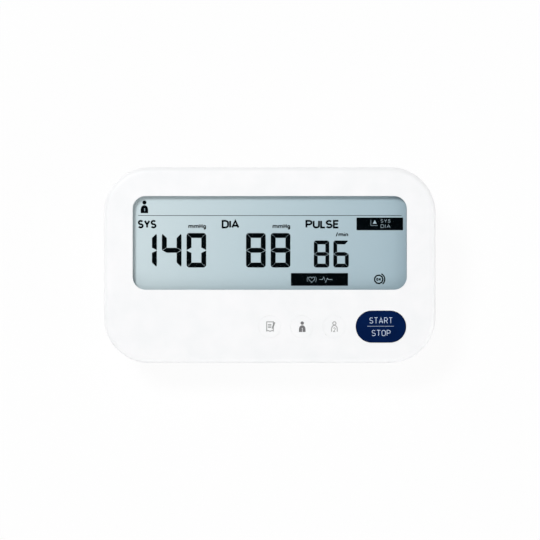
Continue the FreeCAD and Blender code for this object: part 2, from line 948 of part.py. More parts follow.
def socket_saddle(side, radius, length):
    """A rib with a round seat that carries the inner end of a socket."""
    x = (socket_seat() - length * SUPPORT_PLACE) * side
    width = radius * 2 + s.cradle_thick
    rib = box(x, socket_y, s.base_lift, s.cradle_thick, width, s.air_z - radius / 2 - s.base_lift)
    seat = bar_along_x(x - s.cradle_thick, socket_y, s.air_z, radius, s.cradle_thick * 2)
    return cut(rib, seat)


def feet_places():
    """Under the face's four corners, carried square to the face down to the base."""
    x = half_width - s.foot_side
    y = half_length - s.foot_end
    return [(side * x, base_y(end * y)) for side in (-1, 1) for end in (-1, 1)]


def socket_rooms(side, radius):
    """The hole for a socket in a side wall, with a flat spot for its flange."""
    seat = socket_seat() * side
    inner = half_width - s.corner_radius
    return [
        bar_along_x(
            seat if side > 0 else seat - beyond,
            socket_y,
            s.air_z,
            radius + s.flange_reach + s.socket_gap,
            beyond,
        ),
        bar_along_x(
            inner if side > 0 else -beyond, socket_y, s.air_z, radius + s.socket_gap, beyond - inner
        ),
    ]


def make_lower_case():
    """Walls and floor of the base, with the battery bay, wells, ribs and sockets' holes."""
    outside = case_form("CaseForm", as_size(0), s.base_lift)
    bevel_level(outside, s.base_lift, s.base_bevel)
    inside = case_form("CaseRoom", s.wall, floor_top)
    shell = cut(outside, inside, tongue_room())
    saddles = [
        socket_saddle(-1, s.air_jack_radius, s.air_jack_length),
        socket_saddle(1, s.power_jack_radius, s.power_jack_length),
    ]
    fittings = fuse(
        *bay_walls(), *pump_supports(), *saddles, screw_towers(), valve_shelf(), manifold_shelf()
    )
    solid = fuse(shell, common(fittings, outside))
    rooms = bay_rooms() + [screw_rooms()]
    rooms += socket_rooms(-1, s.air_jack_radius) + socket_rooms(1, s.power_jack_radius)
    node("lower_case", fuse(cut(solid, *rooms), *bay_ribs()))
    return outside, inside


def make_battery_cover(outside, inside):
    """A plate flush with the base that turns up the rear wall and slides in side grooves."""
    panel = long_box(cover_front, 0, cover_width, cover_top)
    tongues = long_box(cover_front, cover_top - s.cover_tongue_thick, tongue_reach * 2, cover_top)
    bottom = common(fuse(panel, tongues), outside)
    lip_front = bay_rear + s.bay_wall + s.cover_gap
    lip = common(cut(outside, inside), long_box(lip_front, 0, tongue_reach * 2, s.cover_lip_height))
    grips = [
        box(
            0,
            bay_rear - s.grip_pitch * (number + 1),
            0,
            s.grip_width,
            s.grip_pitch / 2,
            s.base_lift + s.grip_depth,
        )
        for number in range(round(s.grip_count.value))
    ]
    node("battery_cover", cut(fuse(bottom, lip), *grips))


def make_case_screws():
    """Four pan-head screws, up through the lower case's wells into the upper case's bosses."""
    head_top = -(s.case_boss_depth + s.screw_seat)
    tip = -(s.case_boss_depth - s.screw_bite)
    screws = []
    for x, y in case_screw_places():
        head_low = head_top - s.screw_head_height
        head = cylinder(x, y, head_low, s.screw_head_radius, s.screw_head_height)
        screws.append(fuse(head, peg(x, y, head_low, s.screw_radius, tip - head_low)))
    node("case_screws", on_face(group(*screws)))


def make_feet():
    """Four rubber discs under the base."""
    feet = [cylinder(x, y, 0, s.foot_radius, s.base_lift) for x, y in feet_places()]
    node("rubber_feet", group(*feet))


# Display


def plate(name, width, top, bottom, upper, thickness, radius=None):
    """A thin sheet parallel to the face, given by its edges up and down the slope."""
    body = new_body(name)
    drawing = sketch(body, upper)
    middle = (top + bottom) / 2
    if radius:
        rounded_rectangle(drawing, as_size(0), middle, width, top - bottom, radius)
    else:
        rectangle(drawing, as_size(0), middle, width, top - bottom)
    pad(body, drawing, thickness, down=True)
    return on_face(body)


def make_lens():
    """The clear window, and the tape ring that holds it under the case."""
    half = window_length / 2 + s.lens_border
    node(
        "display_lens",
        plate(
            "Lens",
            window_width + s.lens_border * 2,
            window_y + half,
            window_y - half,
            lens_top,
            s.lens_thick,
            s.window_radius + s.lens_border,
        ),
    )
    body = new_body("Tape")
    ring = sketch(body, lens_top)
    for reach in (s.lens_border - s.lens_gap, s.lens_gap * 2):
        rounded_rectangle(
            ring,
            as_size(0),
            window_y,
            window_width + reach * 2,
            window_length + reach * 2,
            s.window_radius + reach,
        )
    pad(body, ring, s.tape_thick)
    node("lens_tape", on_face(body))


def make_display():
    """The stack behind the lens: polariser, two glasses and the reflector."""
    top = glass_top
    low = glass_top - glass_length
    ledge = low + s.glass_ledge
    inset = s.film_inset
    film_width = glass_width - inset * 2
    node(
        "lcd_polariser",
        plate("Polariser", film_width, top - inset, ledge, film_top, s.film_thick),
    )
    node(
        "lcd_front_glass",
        plate("FrontGlass", glass_width, top, low, front_glass_top, s.glass_thick),
    )
    node(
        "lcd_rear_glass",
        plate("RearGlass", glass_width, top, ledge, rear_glass_top, s.glass_thick),
    )
    node(
        "lcd_reflector",
        plate("Reflector", film_width, top - inset, ledge, reflector_top, s.reflector_thick),
    )


def zebra_y():
    """Middle of the rubber connector, under the front glass's contact ledge."""
    return glass_top - glass_length + s.zebra_inset + s.zebra_width / 2


def make_lcd_frame():
    """A tray that holds the display between the lens and the board."""
    body = new_body("DisplayFrame")
    inner_width = glass_width + s.frame_gap * 2
    inner_length = glass_length + s.frame_gap * 2
    ring = sketch(body, -s.board_depth)
    wall = s.frame_wall * 2
    rectangle(ring, as_size(0), glass_y, inner_width + wall, inner_length + wall)
    rectangle(ring, as_size(0), glass_y, inner_width, inner_length)
    pad(body, ring, s.board_depth + lens_bottom)
    tray = sketch(body, frame_floor_top)
    rectangle(tray, as_size(0), glass_y, inner_width + wall, inner_length + wall)
    pad(body, tray, s.frame_floor, down=True)
    opening = sketch(body, frame_floor_top)
    room = s.frame_gap * 2
    rectangle(opening, as_size(0), zebra_y(), zebra_length + room, s.zebra_width + room)
    pitch = glass_width / FRAME_LEGS
    for number in range(FRAME_LEGS):
        middle = pitch * (number - (FRAME_LEGS - 1) / 2)
        rectangle(opening, middle, window_y, pitch * OPENING_SHARE, window_length * OPENING_SHARE)
    pocket(body, opening, s.frame_floor)
    node("lcd_frame", on_face(body))


def make_zebra():
    """The conductive rubber strip between the glass's ledge and the board."""
    height = s.board_depth + rear_glass_top
    strip = box(0, zebra_y(), -s.board_depth, zebra_length, s.zebra_width, height)
    node("zebra_connector", on_face(group(strip)))


def make_board():
    body = new_body("Board")
    drawing = sketch(body, -s.board_depth)
    middle = (board_top - board_bottom) / 2
    length = board_top + board_bottom
    rounded_rectangle(drawing, as_size(0), middle, board_width, length, s.board_radius)
    pad(body, drawing, s.board_thick, down=True)
    node("main_board", on_face(body))


# Keys


def key_places():
    """Name and place of every key, the big one last."""
    return round_keys() + [("start_stop", start_x)]


def add_stem(label, body, x, stem_top):
    """The stem under a key, and the switch's plunger that it stands on."""
    stem_low = -(s.board_depth - s.switch_height - s.start_travel_room - s.plunger_gap)
    stem = sketch(body, stem_top)
    rectangle(stem, x, key_y, s.key_stem, s.key_stem)
    pad(body, stem, stem_top - stem_low, down=True)
    node(f"{label}_button", on_face(body))
    low = -(s.board_depth - s.switch_floor - s.start_travel_room - s.plunger_gap)
    plunger = box(x, key_y, low, s.plunger_width, s.plunger_width, stem_low - low)
    node(f"{label}_switch_plunger", on_face(group(plunger)))


def make_start_key():
    """The long key: a bevelled cap on a plate that keeps it in the case."""
    body = new_body("StartKey")
    flange_top = -(s.wall + s.key_flange_gap)
    flange_low = flange_top - s.key_flange_thick
    cap = sketch(body, flange_low)
    slot(cap, start_x, key_y, s.start_width, s.start_length)
    pad(body, cap, s.start_proud - flange_low)
    bevel_level(body, s.start_proud, s.start_bevel)
    flange = sketch(body, flange_low)
    reach = (s.key_flange + s.start_gap) * 2
    rectangle(flange, start_x, key_y, s.start_width + reach, s.start_length + reach)
    pad(body, flange, s.key_flange_thick)
    add_stem("start_stop", body, start_x, flange_low)


def make_round_key(label, x):
    """A small flush key, kept in the case by two ears."""
    body = new_body("RoundKey")
    flange_top = -(s.wall + s.key_flange_gap)
    flange_low = flange_top - s.key_flange_thick
    cap = sketch(body, flange_low)
    circle(cap, x, key_y, s.round_key_radius)
    pad(body, cap, -flange_low)
    ears = sketch(body, flange_low)
    reach = s.round_key_radius + s.round_key_gap + s.key_flange
    rectangle(ears, x, key_y, reach * 2, s.key_ear_width)
    pad(body, ears, s.key_flange_thick)
    add_stem(label, body, x, flange_low)


def make_keys():
    """The long START key and the three round ones."""
    make_start_key()
    for name, x in round_keys():
        make_round_key(name, x)


def make_tact_switches():
    """The four switch bodies on the board, each with a bore for its plunger."""
    switches = []
    width = s.switch_width
    for _, x in key_places():
        case = box(x, key_y, -s.board_depth, width, width, s.switch_height)
        low = s.switch_floor - s.board_depth
        bore = box(x, key_y, low, s.switch_bore, s.switch_bore, s.switch_height)
        switches.append(cut(case, bore))
    node("tact_switches", on_face(group(*switches)))


# Battery compartment


def cell_places():
    """Place of each cell and whether its positive end is at the rear."""
    last = CELLS - 1
    return [(cell_pitch * (number - last / 2), number % 2 == 0) for number in range(CELLS)]


def make_cells():
    """Four round cells side by side, turned alternately end for end."""
    for number, (x, rearward) in enumerate(cell_places(), start=1):
        if rearward:
            low = bay_front + s.negative_reach
            nub = low + s.cell_body / 2
        else:
            low = bay_rear - s.negative_reach - s.cell_body
            nub = low - s.cell_nub
        cell = fuse(
            bar_along_y(x, low, cell_z, s.cell_radius, s.cell_body),
            peg(
                x,
                nub,
                cell_z,
                s.cell_nub_radius,
                s.cell_body / 2 + s.cell_nub,
                Vector(1, 0, 0),
                -90,
            ),
        )
        node(f"battery_cell_{number}", cell)


def contact_plate(x, wall, inward, width):
    """A flat contact against an end wall of the bay."""
    middle = wall + s.contact_thick / 2 * inward
    return box(x, middle, cell_z - s.contact_height / 2, width, s.contact_thick, s.contact_height)


def contact_leaf(x, wall, inward):
    """A bent spring leaf that stands out of its plate to the cell."""
    body = new_body("Leaf")
    drawing = sketch(body)
    half = contact_width / 3
    root = wall + s.contact_thick * inward
    crest = wall + s.negative_reach * inward
    flat = s.leaf_thick
    polygon(
        drawing,
        (
            (x - half, root),
            (x - flat, crest),
            (x + flat, crest),
            (x + half, root),
            (x + half - flat * 2, root),
            (x, crest - flat * 2 * inward),
            (x - half + flat * 2, root),
        ),
    )
    pad(body, drawing, s.leaf_height)
    return place(body, 0, 0, cell_z - s.leaf_height / 2)


def contact_dimple(x, wall, inward):
    """The raised square that meets a cell's positive end."""
    width = s.dimple_width
    middle = wall + s.positive_reach / 2 * inward
    return box(x, middle, cell_z - width / 2, width, s.positive_reach, width)


def make_contacts():
    """Plates with leaves and dimples that put the four cells in series."""
    pair = cell_pitch + contact_width
    front = [contact_plate(side * cell_pitch, bay_front, 1, pair) for side in (-1, 1)]
    rear = [contact_plate(as_size(0), bay_rear, -1, pair)]
    outer = cell_pitch * (CELLS - 1) / 2
    rear += [contact_plate(side * outer, bay_rear, -1, contact_width) for side in (-1, 1)]
    for x, rearward in cell_places():
        if rearward:
            rear.append(contact_dimple(x, bay_rear, -1))
            front.append(contact_leaf(x, bay_front, 1))
        else:
            front.append(contact_dimple(x, bay_front, 1))
            rear.append(contact_leaf(x, bay_rear, -1))
    node("front_battery_contacts", fuse(*front))
    node("rear_battery_contacts", fuse(*rear))


# Pump


def turned(name, points, x, y, z, axis=None, angle=0):
    """A round piece from half its section, about its own z axis."""
    body = new_body(name)
    profile = sketch(body, role="XZ_Plane")
    polygon(profile, points)
    revolve(body, profile)
    return place(body, x, y, z, axis, angle)


def turned_along_y(name, points, y):
    """A round piece on the pump's axis, from half its section."""
    return turned(name, points, air_x, y, s.air_z, Vector(1, 0, 0), -90)


def prism_along_y(name, draw, y, length):
    """A straight piece on the pump's axis with a drawn section, and room for more features."""
    body = new_body(name)
    section = sketch(body, role="XZ_Plane")
    draw(section)
    pad(body, section, length, down=True)
    return place(body, air_x, y, s.air_z)


def make_pump_head():
    """The pump's square, hollow head, with the outlet nozzle at its front."""
    width, corner = s.pump_head_width, s.pump_head_round
    middle = as_size(0)

    def draw(section):
        rounded_rectangle(section, middle, middle, width, width, corner)

    body = prism_along_y("PumpHead", draw, pump_y, s.pump_head_length)
    room = sketch(body, -s.pump_wall * 2, "XZ_Plane")
    inner = width - s.pump_wall * 2
    rounded_rectangle(room, middle, middle, inner, inner, corner - s.pump_wall)
    pocket(body, room, s.pump_head_length)
    nozzle = sketch(body, role="XZ_Plane")
    circle(nozzle, middle, middle, s.nozzle_radius)
    pad(body, nozzle, s.nozzle_length)
    node("pump_head", body)


def make_motor_can():
    """The motor's drawn steel can, with the bearing in its front plate."""
    radius, length, wall = s.motor_radius, s.motor_length, s.motor_wall
    bearing = s.shaft_radius + s.shaft_clearance
    points = (
        (bearing, 0),
        (radius, 0),
        (radius, length),
        (radius - wall, length),
        (radius - wall, wall * 2),
        (bearing, wall * 2),
    )
    node("pump_motor_can", turned_along_y("MotorCan", points, motor_y))


def make_motor_end_cap():
    """The plastic cap at the motor's rear, with the second bearing."""
    depth = s.motor_wall * 3
    bearing = s.shaft_radius + s.shaft_clearance
    inner = s.motor_radius - s.motor_wall
    blind = depth - s.motor_wall
    points = ((bearing, 0), (inner, 0), (inner, depth), (0, depth), (0, blind), (bearing, blind))
    node("pump_end_cap", turned_along_y("EndCap", points, motor_y + s.motor_length - depth))


def make_magnets():
    """The motor's two curved magnets, one on each side inside the can."""
    outer = s.motor_radius - s.motor_wall
    inner = outer - s.magnet_thick
    magnets = []
    for turn in (0, 180):
        points = [on_circle(outer, turn + angle) for angle in MAGNET_ANGLES]
        points += [on_circle(inner, turn + angle) for angle in reversed(MAGNET_ANGLES)]

        def draw(section, points=points):
            polygon(section, points)

        start = motor_y + s.motor_wall * 4
        magnets.append(prism_along_y("Magnet", draw, start, s.armature_length))
    node("pump_magnets", group(*magnets))


def make_rotor():
    """What turns in the motor: shaft, three-pole armature, and the crank in the head."""
    shaft_start = motor_y - s.crank_thick - s.shaft_end_gap
    shaft_end = motor_end - s.motor_wall - s.shaft_end_gap
    shaft = bar_along_y(air_x, shaft_start, s.air_z, s.shaft_radius, shaft_end - shaft_start)
    node("pump_shaft", group(shaft))

    def draw_armature(section):
        points = []
        for pole in (90, 210, 330):
            points += [on_circle(s.armature_radius, pole + turn) for turn in POLE_ANGLES]
            points.append(on_circle(s.armature_root, pole + 60))
        polygon(section, points)
        circle(section, 0, 0, s.shaft_radius)

    start = motor_y + s.motor_wall * 4
    node("pump_armature", prism_along_y("Armature", draw_armature, start, s.armature_length))
    node("pump_crank", make_crank(shaft_start))


def make_crank(start):
    """A short arm on the shaft's end with an eccentric pin towards the diaphragm."""
    body = new_body("Crank")
    arm = sketch(body, role="XZ_Plane")
    length = s.crank_width + s.crank_pin_offset
    slot(arm, s.crank_pin_offset / 2, as_size(0), length, s.crank_width)
    circle(arm, 0, 0, s.shaft_radius)
    pad(body, arm, s.crank_thick, down=True)
    pin = sketch(body, role="XZ_Plane")
    circle(pin, s.crank_pin_offset, 0, s.crank_pin_radius)
    pad(body, pin, s.crank_pin_length)
    return place(body, air_x, start, s.air_z)


def make_diaphragm():
    """The rubber diaphragm across the head, with a round hub in its middle."""
    width = s.pump_head_width - s.pump_wall * 2
    middle = as_size(0)

    def draw(section):
        corner = s.pump_head_round - s.pump_wall
        rounded_rectangle(section, middle, middle, width, width, corner)

    body = prism_along_y("Diaphragm", draw, pump_y + s.pump_wall * 2, s.diaphragm_thick)
    hub = sketch(body, -s.diaphragm_thick, "XZ_Plane")
    circle(hub, middle, middle, s.diaphragm_hub)
    pad(body, hub, s.diaphragm_thick, down=True)
    node("pump_diaphragm", body)


# Air path


def manifold_right():
    return air_x + s.manifold_width / 2


def valve_left():
    """Distance of the exhaust valve's frame from the middle, at its nozzle end."""
    return manifold_right() + s.valve_tube_length + s.tube_end_gap * 2


def valve_middle_x():
    return valve_left() + s.valve_length / 2


def sensor_place():
    """Where the line through the manifold's middle, square to the face, crosses it."""
    return face_y_of(manifold_y, s.air_z), face_z_of(manifold_y, s.air_z)


def make_manifold():
    """The block that joins pump, socket, sensor and valves, with a nozzle towards each."""
    width, length, height = s.manifold_width, s.manifold_length, s.manifold_height
    radius, nozzle = s.nozzle_radius, s.nozzle_length
    block = box(air_x, manifold_y, s.air_z - height / 2, width, length, height)
    y, z = sensor_place()
    left = air_x - width / 2
    stubs = [
        bar_along_y(air_x, manifold_rear - radius, s.air_z, radius, nozzle + radius),
        bar_along_x(left - nozzle, socket_y, s.air_z, radius, nozzle + radius),
        bar_along_x(manifold_right() - radius, valve_y, s.air_z, radius, nozzle + radius),
        bar_out_of_face(air_x, y, z, radius, sensor_nozzle_low() - s.tube_end_gap - z),
    ]
    node("air_manifold", fuse(block, *stubs))


def sensor_nozzle_low():
    """Depth below the face of the tip of the sensor's nozzle."""
    return board_under - s.sensor_height - s.sensor_nozzle


def make_sensor():
    """The pressure sensor on the board's underside, with its nozzle down to the manifold."""
    y, _ = sensor_place()
    low = board_under - s.sensor_height
    case = box(air_x, y, low, s.sensor_size, s.sensor_size, s.sensor_height)
    stub = cylinder(air_x, y, sensor_nozzle_low(), s.nozzle_radius, board_under - sensor_nozzle_low())
    node("pressure_sensor", on_face(fuse(case, stub)))


def sleeve(bar, x, y, z, length):
    """A straight length of silicone tube."""
    inner = s.nozzle_radius + s.tube_gap
    return cut(bar(x, y, z, s.tube_radius, length), bar(x, y, z, inner, length))


def make_tubes():
    """Short silicone tubes pushed over the nozzles from block to block."""
    gap = s.tube_end_gap
    start = manifold_rear + gap
    node("pump_air_tube", sleeve(bar_along_y, air_x, start, s.air_z, s.pump_tube_length))
    start = manifold_right() + gap
    node("valve_air_tube", sleeve(bar_along_x, start, valve_y, s.air_z, s.valve_tube_length))
    left = -(socket_seat() - s.air_jack_length - gap)
    right = air_x - s.manifold_width / 2 - gap
    node("socket_air_tube", sleeve(bar_along_x, left, socket_y, s.air_z, right - left))
    y, z = sensor_place()
    top = board_under - s.sensor_height - gap
    low = z + s.manifold_height / 2 + gap * 2
    node("sensor_air_tube", sleeve(bar_out_of_face, air_x, y, low, top - low))


def make_leak_valve():
    """The slow-release rubber valve on the manifold's front."""
    length = s.leak_valve_length
    cap = bar_along_y(air_x, manifold_front - length, s.air_z, s.leak_valve_radius, length)
    node("leak_valve", group(cap))


def make_exhaust_valve():
    """The quick-release valve: steel frame, coil and a plunger that the coil pulls back."""
    wall, height = s.valve_plate, s.valve_height
    length = s.valve_length
    left = valve_left()
    right = left + length
    middle = valve_middle_x()
    low = s.air_z - height / 2
    block = box(middle, valve_y, low, length, s.valve_width, height)
    room = box(middle, valve_y, low + wall, length - wall * 2, s.valve_width * 2, height)
    radius, nozzle = s.nozzle_radius, s.nozzle_length
    stub = bar_along_x(left - nozzle, valve_y, s.air_z, radius, nozzle + wall)
    core = s.valve_core_radius + s.valve_core_gap
    hole = bar_along_x(right - wall * 2, valve_y, s.air_z, core, wall * 3)
    node("valve_frame", cut(fuse(cut(block, room), stub), hole))
    coil_length = length - wall * 2
    coil = cut(
        bar_along_x(left + wall, valve_y, s.air_z, s.valve_coil_radius - s.valve_core_gap, coil_length),
        bar_along_x(left, valve_y, s.air_z, core, length),
    )
    node("valve_coil", coil)
    tip = left + wall + s.valve_tip_gap
    rod = bar_along_x(tip, valve_y, s.air_z, s.valve_core_radius, right + s.valve_core_out - tip)
    node("valve_plunger", group(rod))


# Sockets


def socket_outline(radius, bore, bore_depth, length):
    """Half the section of a socket, along its axis from the wall's flat spot."""
    front = s.flange_thick
    flange = radius + s.flange_reach
    return (
        (0, -length),
        (radius, -length),
        (radius, 0),
        (flange, 0),
        (flange, front),
        (bore, front),
        (bore, front - bore_depth),
        (0, front - bore_depth),
    )


def make_air_jack():
    """The round socket in the left side that takes the cuff's air plug."""
    length = s.air_jack_length
    points = socket_outline(s.air_jack_radius, s.air_bore, s.air_bore_depth, length)
    seat = -socket_seat()
    jack = turned("AirJack", points, seat, socket_y, s.air_z, Vector(0, 1, 0), -90)
    stub = bar_along_x(seat + length, socket_y, s.air_z, s.nozzle_radius, s.nozzle_length)
    node("air_jack", fuse(jack, stub))


def make_power_jack():
    """The round power socket in the right side, and its centre pin."""
    length = s.power_jack_length
    points = socket_outline(s.power_jack_radius, s.power_bore, s.power_bore_depth, length)
    seat = socket_seat()
    node("power_jack", turned("PowerJack", points, seat, socket_y, s.air_z, Vector(0, 1, 0), 90))
    foot = seat + s.flange_thick - s.power_bore_depth
    pin = bar_along_x(foot, socket_y, s.air_z, s.power_pin_radius, s.power_pin_length)
    node("power_jack_pin", group(pin))


# Parts on the board's underside


def hung_box(x, y, width, length, height):
    """A block under the board, in face coordinates."""
    return box(x, y, board_under - height, width, length, height)


def board_place(name):
    """Place of a part under the board, in face coordinates."""
    across, along = BOARD_PLACES[name]
    return board_width / 10 * across, s.chip_size * along


def make_board_parts():
    """Chips and small parts soldered under the board."""
    for name, width, length, height in (
        ("microcontroller", s.chip_size, s.chip_size, s.chip_height),
        ("memory_chip", s.memory_length, s.memory_width, s.chip_height),
        ("voltage_regulator", s.regulator_size, s.regulator_size, s.regulator_height),
    ):
        node(name, on_face(group(hung_box(*board_place(name), width, length, height))))
    x, y = board_place("voltage_regulator")
    height = s.capacitor_height
    cans = [
        peg(x, y + s.capacitor_reach * side, board_under - height, s.capacitor_radius, height)
        for side in (-1, 1)
    ]
    node("capacitors", on_face(group(*cans)))
    height = s.buzzer_height
    buzzer = cylinder(*board_place("buzzer"), board_under - height, s.buzzer_radius, height)
    node("buzzer", on_face(group(buzzer)))
    for name in ("battery_connector", "pump_connector"):
        node(name, on_face(connector(*board_place(name))))


def connector(x, y):
    """A shrouded plug connector, open downwards."""
    width, depth, height = s.connector_width, s.connector_depth, s.connector_height
    wall = s.connector_wall * 2
    shroud = cut(
        hung_box(x, y, width, depth, height),
        box(x, y, board_under - height, width - wall, depth - wall, height - wall),
    )
    pins = [
        box(
            x + s.connector_pitch * turn,
            y,
            board_under - s.connector_pin,
            s.connector_wall,
            s.connector_wall,
            s.connector_pin - s.connector_wall,
        )
        for turn in (-1, 0, 1)
    ]
    return fuse(shroud, *pins)


def check_everything():
    """Stop if any object failed or any sub-part has no sound shape."""
    DOCUMENT.recompute()
    for thing in DOCUMENT.Objects:
        if {"Invalid", "Error"} & set(thing.State):
            raise RuntimeError(f"{thing.Name} ({thing.Label}) failed: {thing.State}")
    for thing in NODES:
        if thing.Shape.isNull() or not thing.Shape.isValid() or not thing.Shape.Solids:
            raise RuntimeError(f"{thing.Label} has no sound shape")


def main():
    make_upper_case()
    outside, inside = make_lower_case()
    make_battery_cover(outside, inside)
    make_case_screws()
    make_feet()
    make_lens()
    make_display()
    make_lcd_frame()
    make_zebra()
    make_board()
    make_keys()
    make_tact_switches()
    make_cells()
    make_contacts()
    make_pump_head()
    make_diaphragm()
    make_motor_can()
    make_motor_end_cap()
    make_magnets()
    make_rotor()
    make_manifold()
    make_sensor()
    make_tubes()
    make_leak_valve()
    make_exhaust_valve()
    make_air_jack()
    make_power_jack()
    make_board_parts()
    check_everything()
    os.makedirs("parts", exist_ok=True)
    for thing in NODES:
        thing.Shape.exportStep(f"parts/{thing.Label}.step")


main()
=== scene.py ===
"""Looks of a desk-top blood pressure monitor, laid out as an add-on and run as a script.

Two frames are used. Row metres are the CAD frame's own: x to the right, y away from the
reader, z up. Face millimetres follow the tilted face: x across it, y up its slope and z out
of it, from the face's middle.
"""

import json
import math

import bmesh
import bpy
import numpy as np
from bpy.props import FloatProperty, PointerProperty, StringProperty
from mathutils import Matrix, Vector

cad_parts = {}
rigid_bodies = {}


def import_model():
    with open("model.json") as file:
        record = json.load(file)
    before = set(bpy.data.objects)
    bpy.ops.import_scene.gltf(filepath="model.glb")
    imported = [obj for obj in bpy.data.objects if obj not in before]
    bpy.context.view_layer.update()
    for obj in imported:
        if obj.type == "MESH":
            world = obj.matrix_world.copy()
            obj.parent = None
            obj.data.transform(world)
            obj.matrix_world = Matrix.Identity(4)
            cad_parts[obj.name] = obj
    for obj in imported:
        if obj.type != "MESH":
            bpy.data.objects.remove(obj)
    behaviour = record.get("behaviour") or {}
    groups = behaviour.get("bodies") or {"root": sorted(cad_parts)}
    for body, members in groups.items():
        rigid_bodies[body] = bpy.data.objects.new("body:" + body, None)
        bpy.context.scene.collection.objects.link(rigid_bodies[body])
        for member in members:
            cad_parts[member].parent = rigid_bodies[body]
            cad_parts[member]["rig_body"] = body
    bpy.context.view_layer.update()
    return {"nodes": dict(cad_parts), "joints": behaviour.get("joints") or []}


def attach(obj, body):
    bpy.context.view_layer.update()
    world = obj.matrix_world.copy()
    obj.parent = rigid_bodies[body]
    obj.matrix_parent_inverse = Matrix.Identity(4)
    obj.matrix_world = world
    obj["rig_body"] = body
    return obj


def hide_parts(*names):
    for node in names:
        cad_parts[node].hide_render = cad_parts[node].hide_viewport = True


bl_info = {
    "name": "Blood pressure monitor",
    "version": (1, 0, 0),
    "blender": (4, 5, 0),
    "location": "View3D > Sidebar > Monitor",
    "description": "Makes the pieces and finishes of a desk-top blood pressure monitor",
    "category": "Object",
}

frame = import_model()

MM = 0.001
WELD = 0.000002
ACROSS = np.array((1.0, 0.0, 0.0))
PRESS = next(joint for joint in frame["joints"] if joint["name"] == "start_stop_press")
OUT = -np.array(PRESS["axis"], float)
UP = np.cross(OUT, ACROSS)


# Measuring the frame


def read_places(items, name):
    """A place for every vertex or face, such as "co" or "center", one to a line."""
    flat = np.empty(len(items) * 3, np.float32)
    items.foreach_get(name, flat)
    return flat.reshape(-1, 3)


def vertices_of(node):
    """Every vertex of a CAD node, in row metres."""
    return read_places(frame["nodes"][node].data.vertices, "co").astype(float)


def reach(node, direction):
    """Lowest and highest place of a CAD node along a direction, in metres."""
    along = vertices_of(node) @ direction
    return along.min(), along.max()


FACE_ORIGIN = OUT * reach("memory_button", OUT)[1] + UP * sum(reach("upper_case", UP)) / 2
FACE_AXES = np.stack((ACROSS, UP, OUT))
FACE_MATRIX = Matrix.Translation(FACE_ORIGIN) @ Matrix(FACE_AXES.T * MM).to_4x4()


def face_box(node):
    """Lowest and highest corners of a CAD node in face millimetres."""
    local = (vertices_of(node) - FACE_ORIGIN) @ FACE_AXES.T / MM
    return local.min(0), local.max(0)


def row_box(node):
    """Lowest and highest corners of a CAD node in row millimetres."""
    corners = vertices_of(node) / MM
    return corners.min(0), corners.max(0)


CASE_LOW, CASE_HIGH = face_box("upper_case")
FILM_LOW, FILM_HIGH = face_box("lcd_polariser")
START_LOW, START_HIGH = face_box("start_stop_button")
PARTING = face_box("lower_case")[1][2]
CORNER_RADIUS = 25.0
START_MIDDLE, KEY_LINE = ((START_LOW + START_HIGH) / 2)[:2]
FLANGE_LOW, FLANGE_TOP = -3.5, -2.5  # the flanges that hold the keys under the face
ROUND_KEYS = ("memory", "user_1", "user_2")


# Sizes and colours that a user may change


def length(name, description, default):
    return FloatProperty(
        name=name, description=description, default=default * MM, min=0, unit="LENGTH", precision=5
    )


def colour(name, description, default):
    return StringProperty(name=name, description=description + ", as an sRGB hex", default=default)


class MonitorSizes(bpy.types.PropertyGroup):
    """Sizes of the details that are added to the frame."""

    main_digit: length("Main digits", "Height of the pressure digits", 18.7)
    pulse_digit: length("Pulse digits", "Height of the pulse digits", 14.65)
    stroke: length("Segment width", "Width of a segment of the pressure digits", 2.64)
    segment_gap: length("Segment gap", "Gap between two segments of a digit", 0.12)
    ink: length("Ink thickness", "Height of printed ink above its surface", 0.02)
    seam_height: length("Seam height", "Height of the shadow groove round the case", 0.6)
    seam_depth: length("Seam depth", "Depth of the shadow groove round the case", 0.45)
    key_round: length("Key edge", "Radius of the long key's upper edge", 0.6)
    soft_edge: length("Soft edge", "Radius on the edges of small moulded pieces", 0.15)
    thread_pitch: length("Thread pitch", "Pitch of the case screws' thread", 0.9)


class MonitorFinish(bpy.types.PropertyGroup):
    """Colours of what the reader sees."""

    case: colour("Case", "Colour of the moulded case", "#F8F8F9")
    start_key: colour("Long key", "Colour of the start and stop key", "#031C49")
    lettering: colour("Lettering", "Colour of the ink on the long key", "#D3E2FA")
    icon_dark: colour("First user's icon", "Colour of the filled icon", "#6A6A6C")
    icon_middle: colour("Memory icon", "Colour of the memory icon", "#989A9A")
    icon_light: colour("Second user's icon", "Colour of the outlined icon", "#A6A6A6")
    # Painted shade: the display's colour runs from its lit upper left to its shaded lower right.
    display_lit_side: colour("Display, light side", "Display colour at its upper left", "#CDDCE0")
    display_shaded_side: colour("Display, dark side", "Display colour at its lower right", "#A6BCC6")
    segments: colour("Segments", "Colour of the segments that are on", "#030608")


def size(name):
    """One of the sizes, in millimetres."""
    return getattr(bpy.context.scene.monitor_sizes, name) / MM


def tint(name):
    """One of the colours."""
    return getattr(bpy.context.scene.monitor_finish, name)


# Materials


def linear(code):
    """The linear colour of an sRGB hex: each channel c becomes ((c + 0.055) / 1.055) ** 2.4."""
    channels = [int(code.lstrip("#")[place : place + 2], 16) / 255 for place in (0, 2, 4)]
    return [c / 12.92 if c <= 0.04045 else ((c + 0.055) / 1.055) ** 2.4 for c in channels] + [1.0]


def add_node(material, kind, settings=None):
    """A shader node with its settings. A setting that is a node or a socket is linked."""
    tree = material.node_tree
    made = tree.nodes.new("ShaderNode" + kind)
    for name, value in (settings or {}).items():
        if isinstance(value, bpy.types.Node):
            value = value.outputs[0]
        if isinstance(value, bpy.types.NodeSocket):
            tree.links.new(value, made.inputs[name])
        elif isinstance(name, int) or name in made.inputs:
            made.inputs[name].default_value = value
        else:
            setattr(made, name, value)
    return made


def shader_of(material):
    return material.node_tree.nodes["Principled BSDF"]


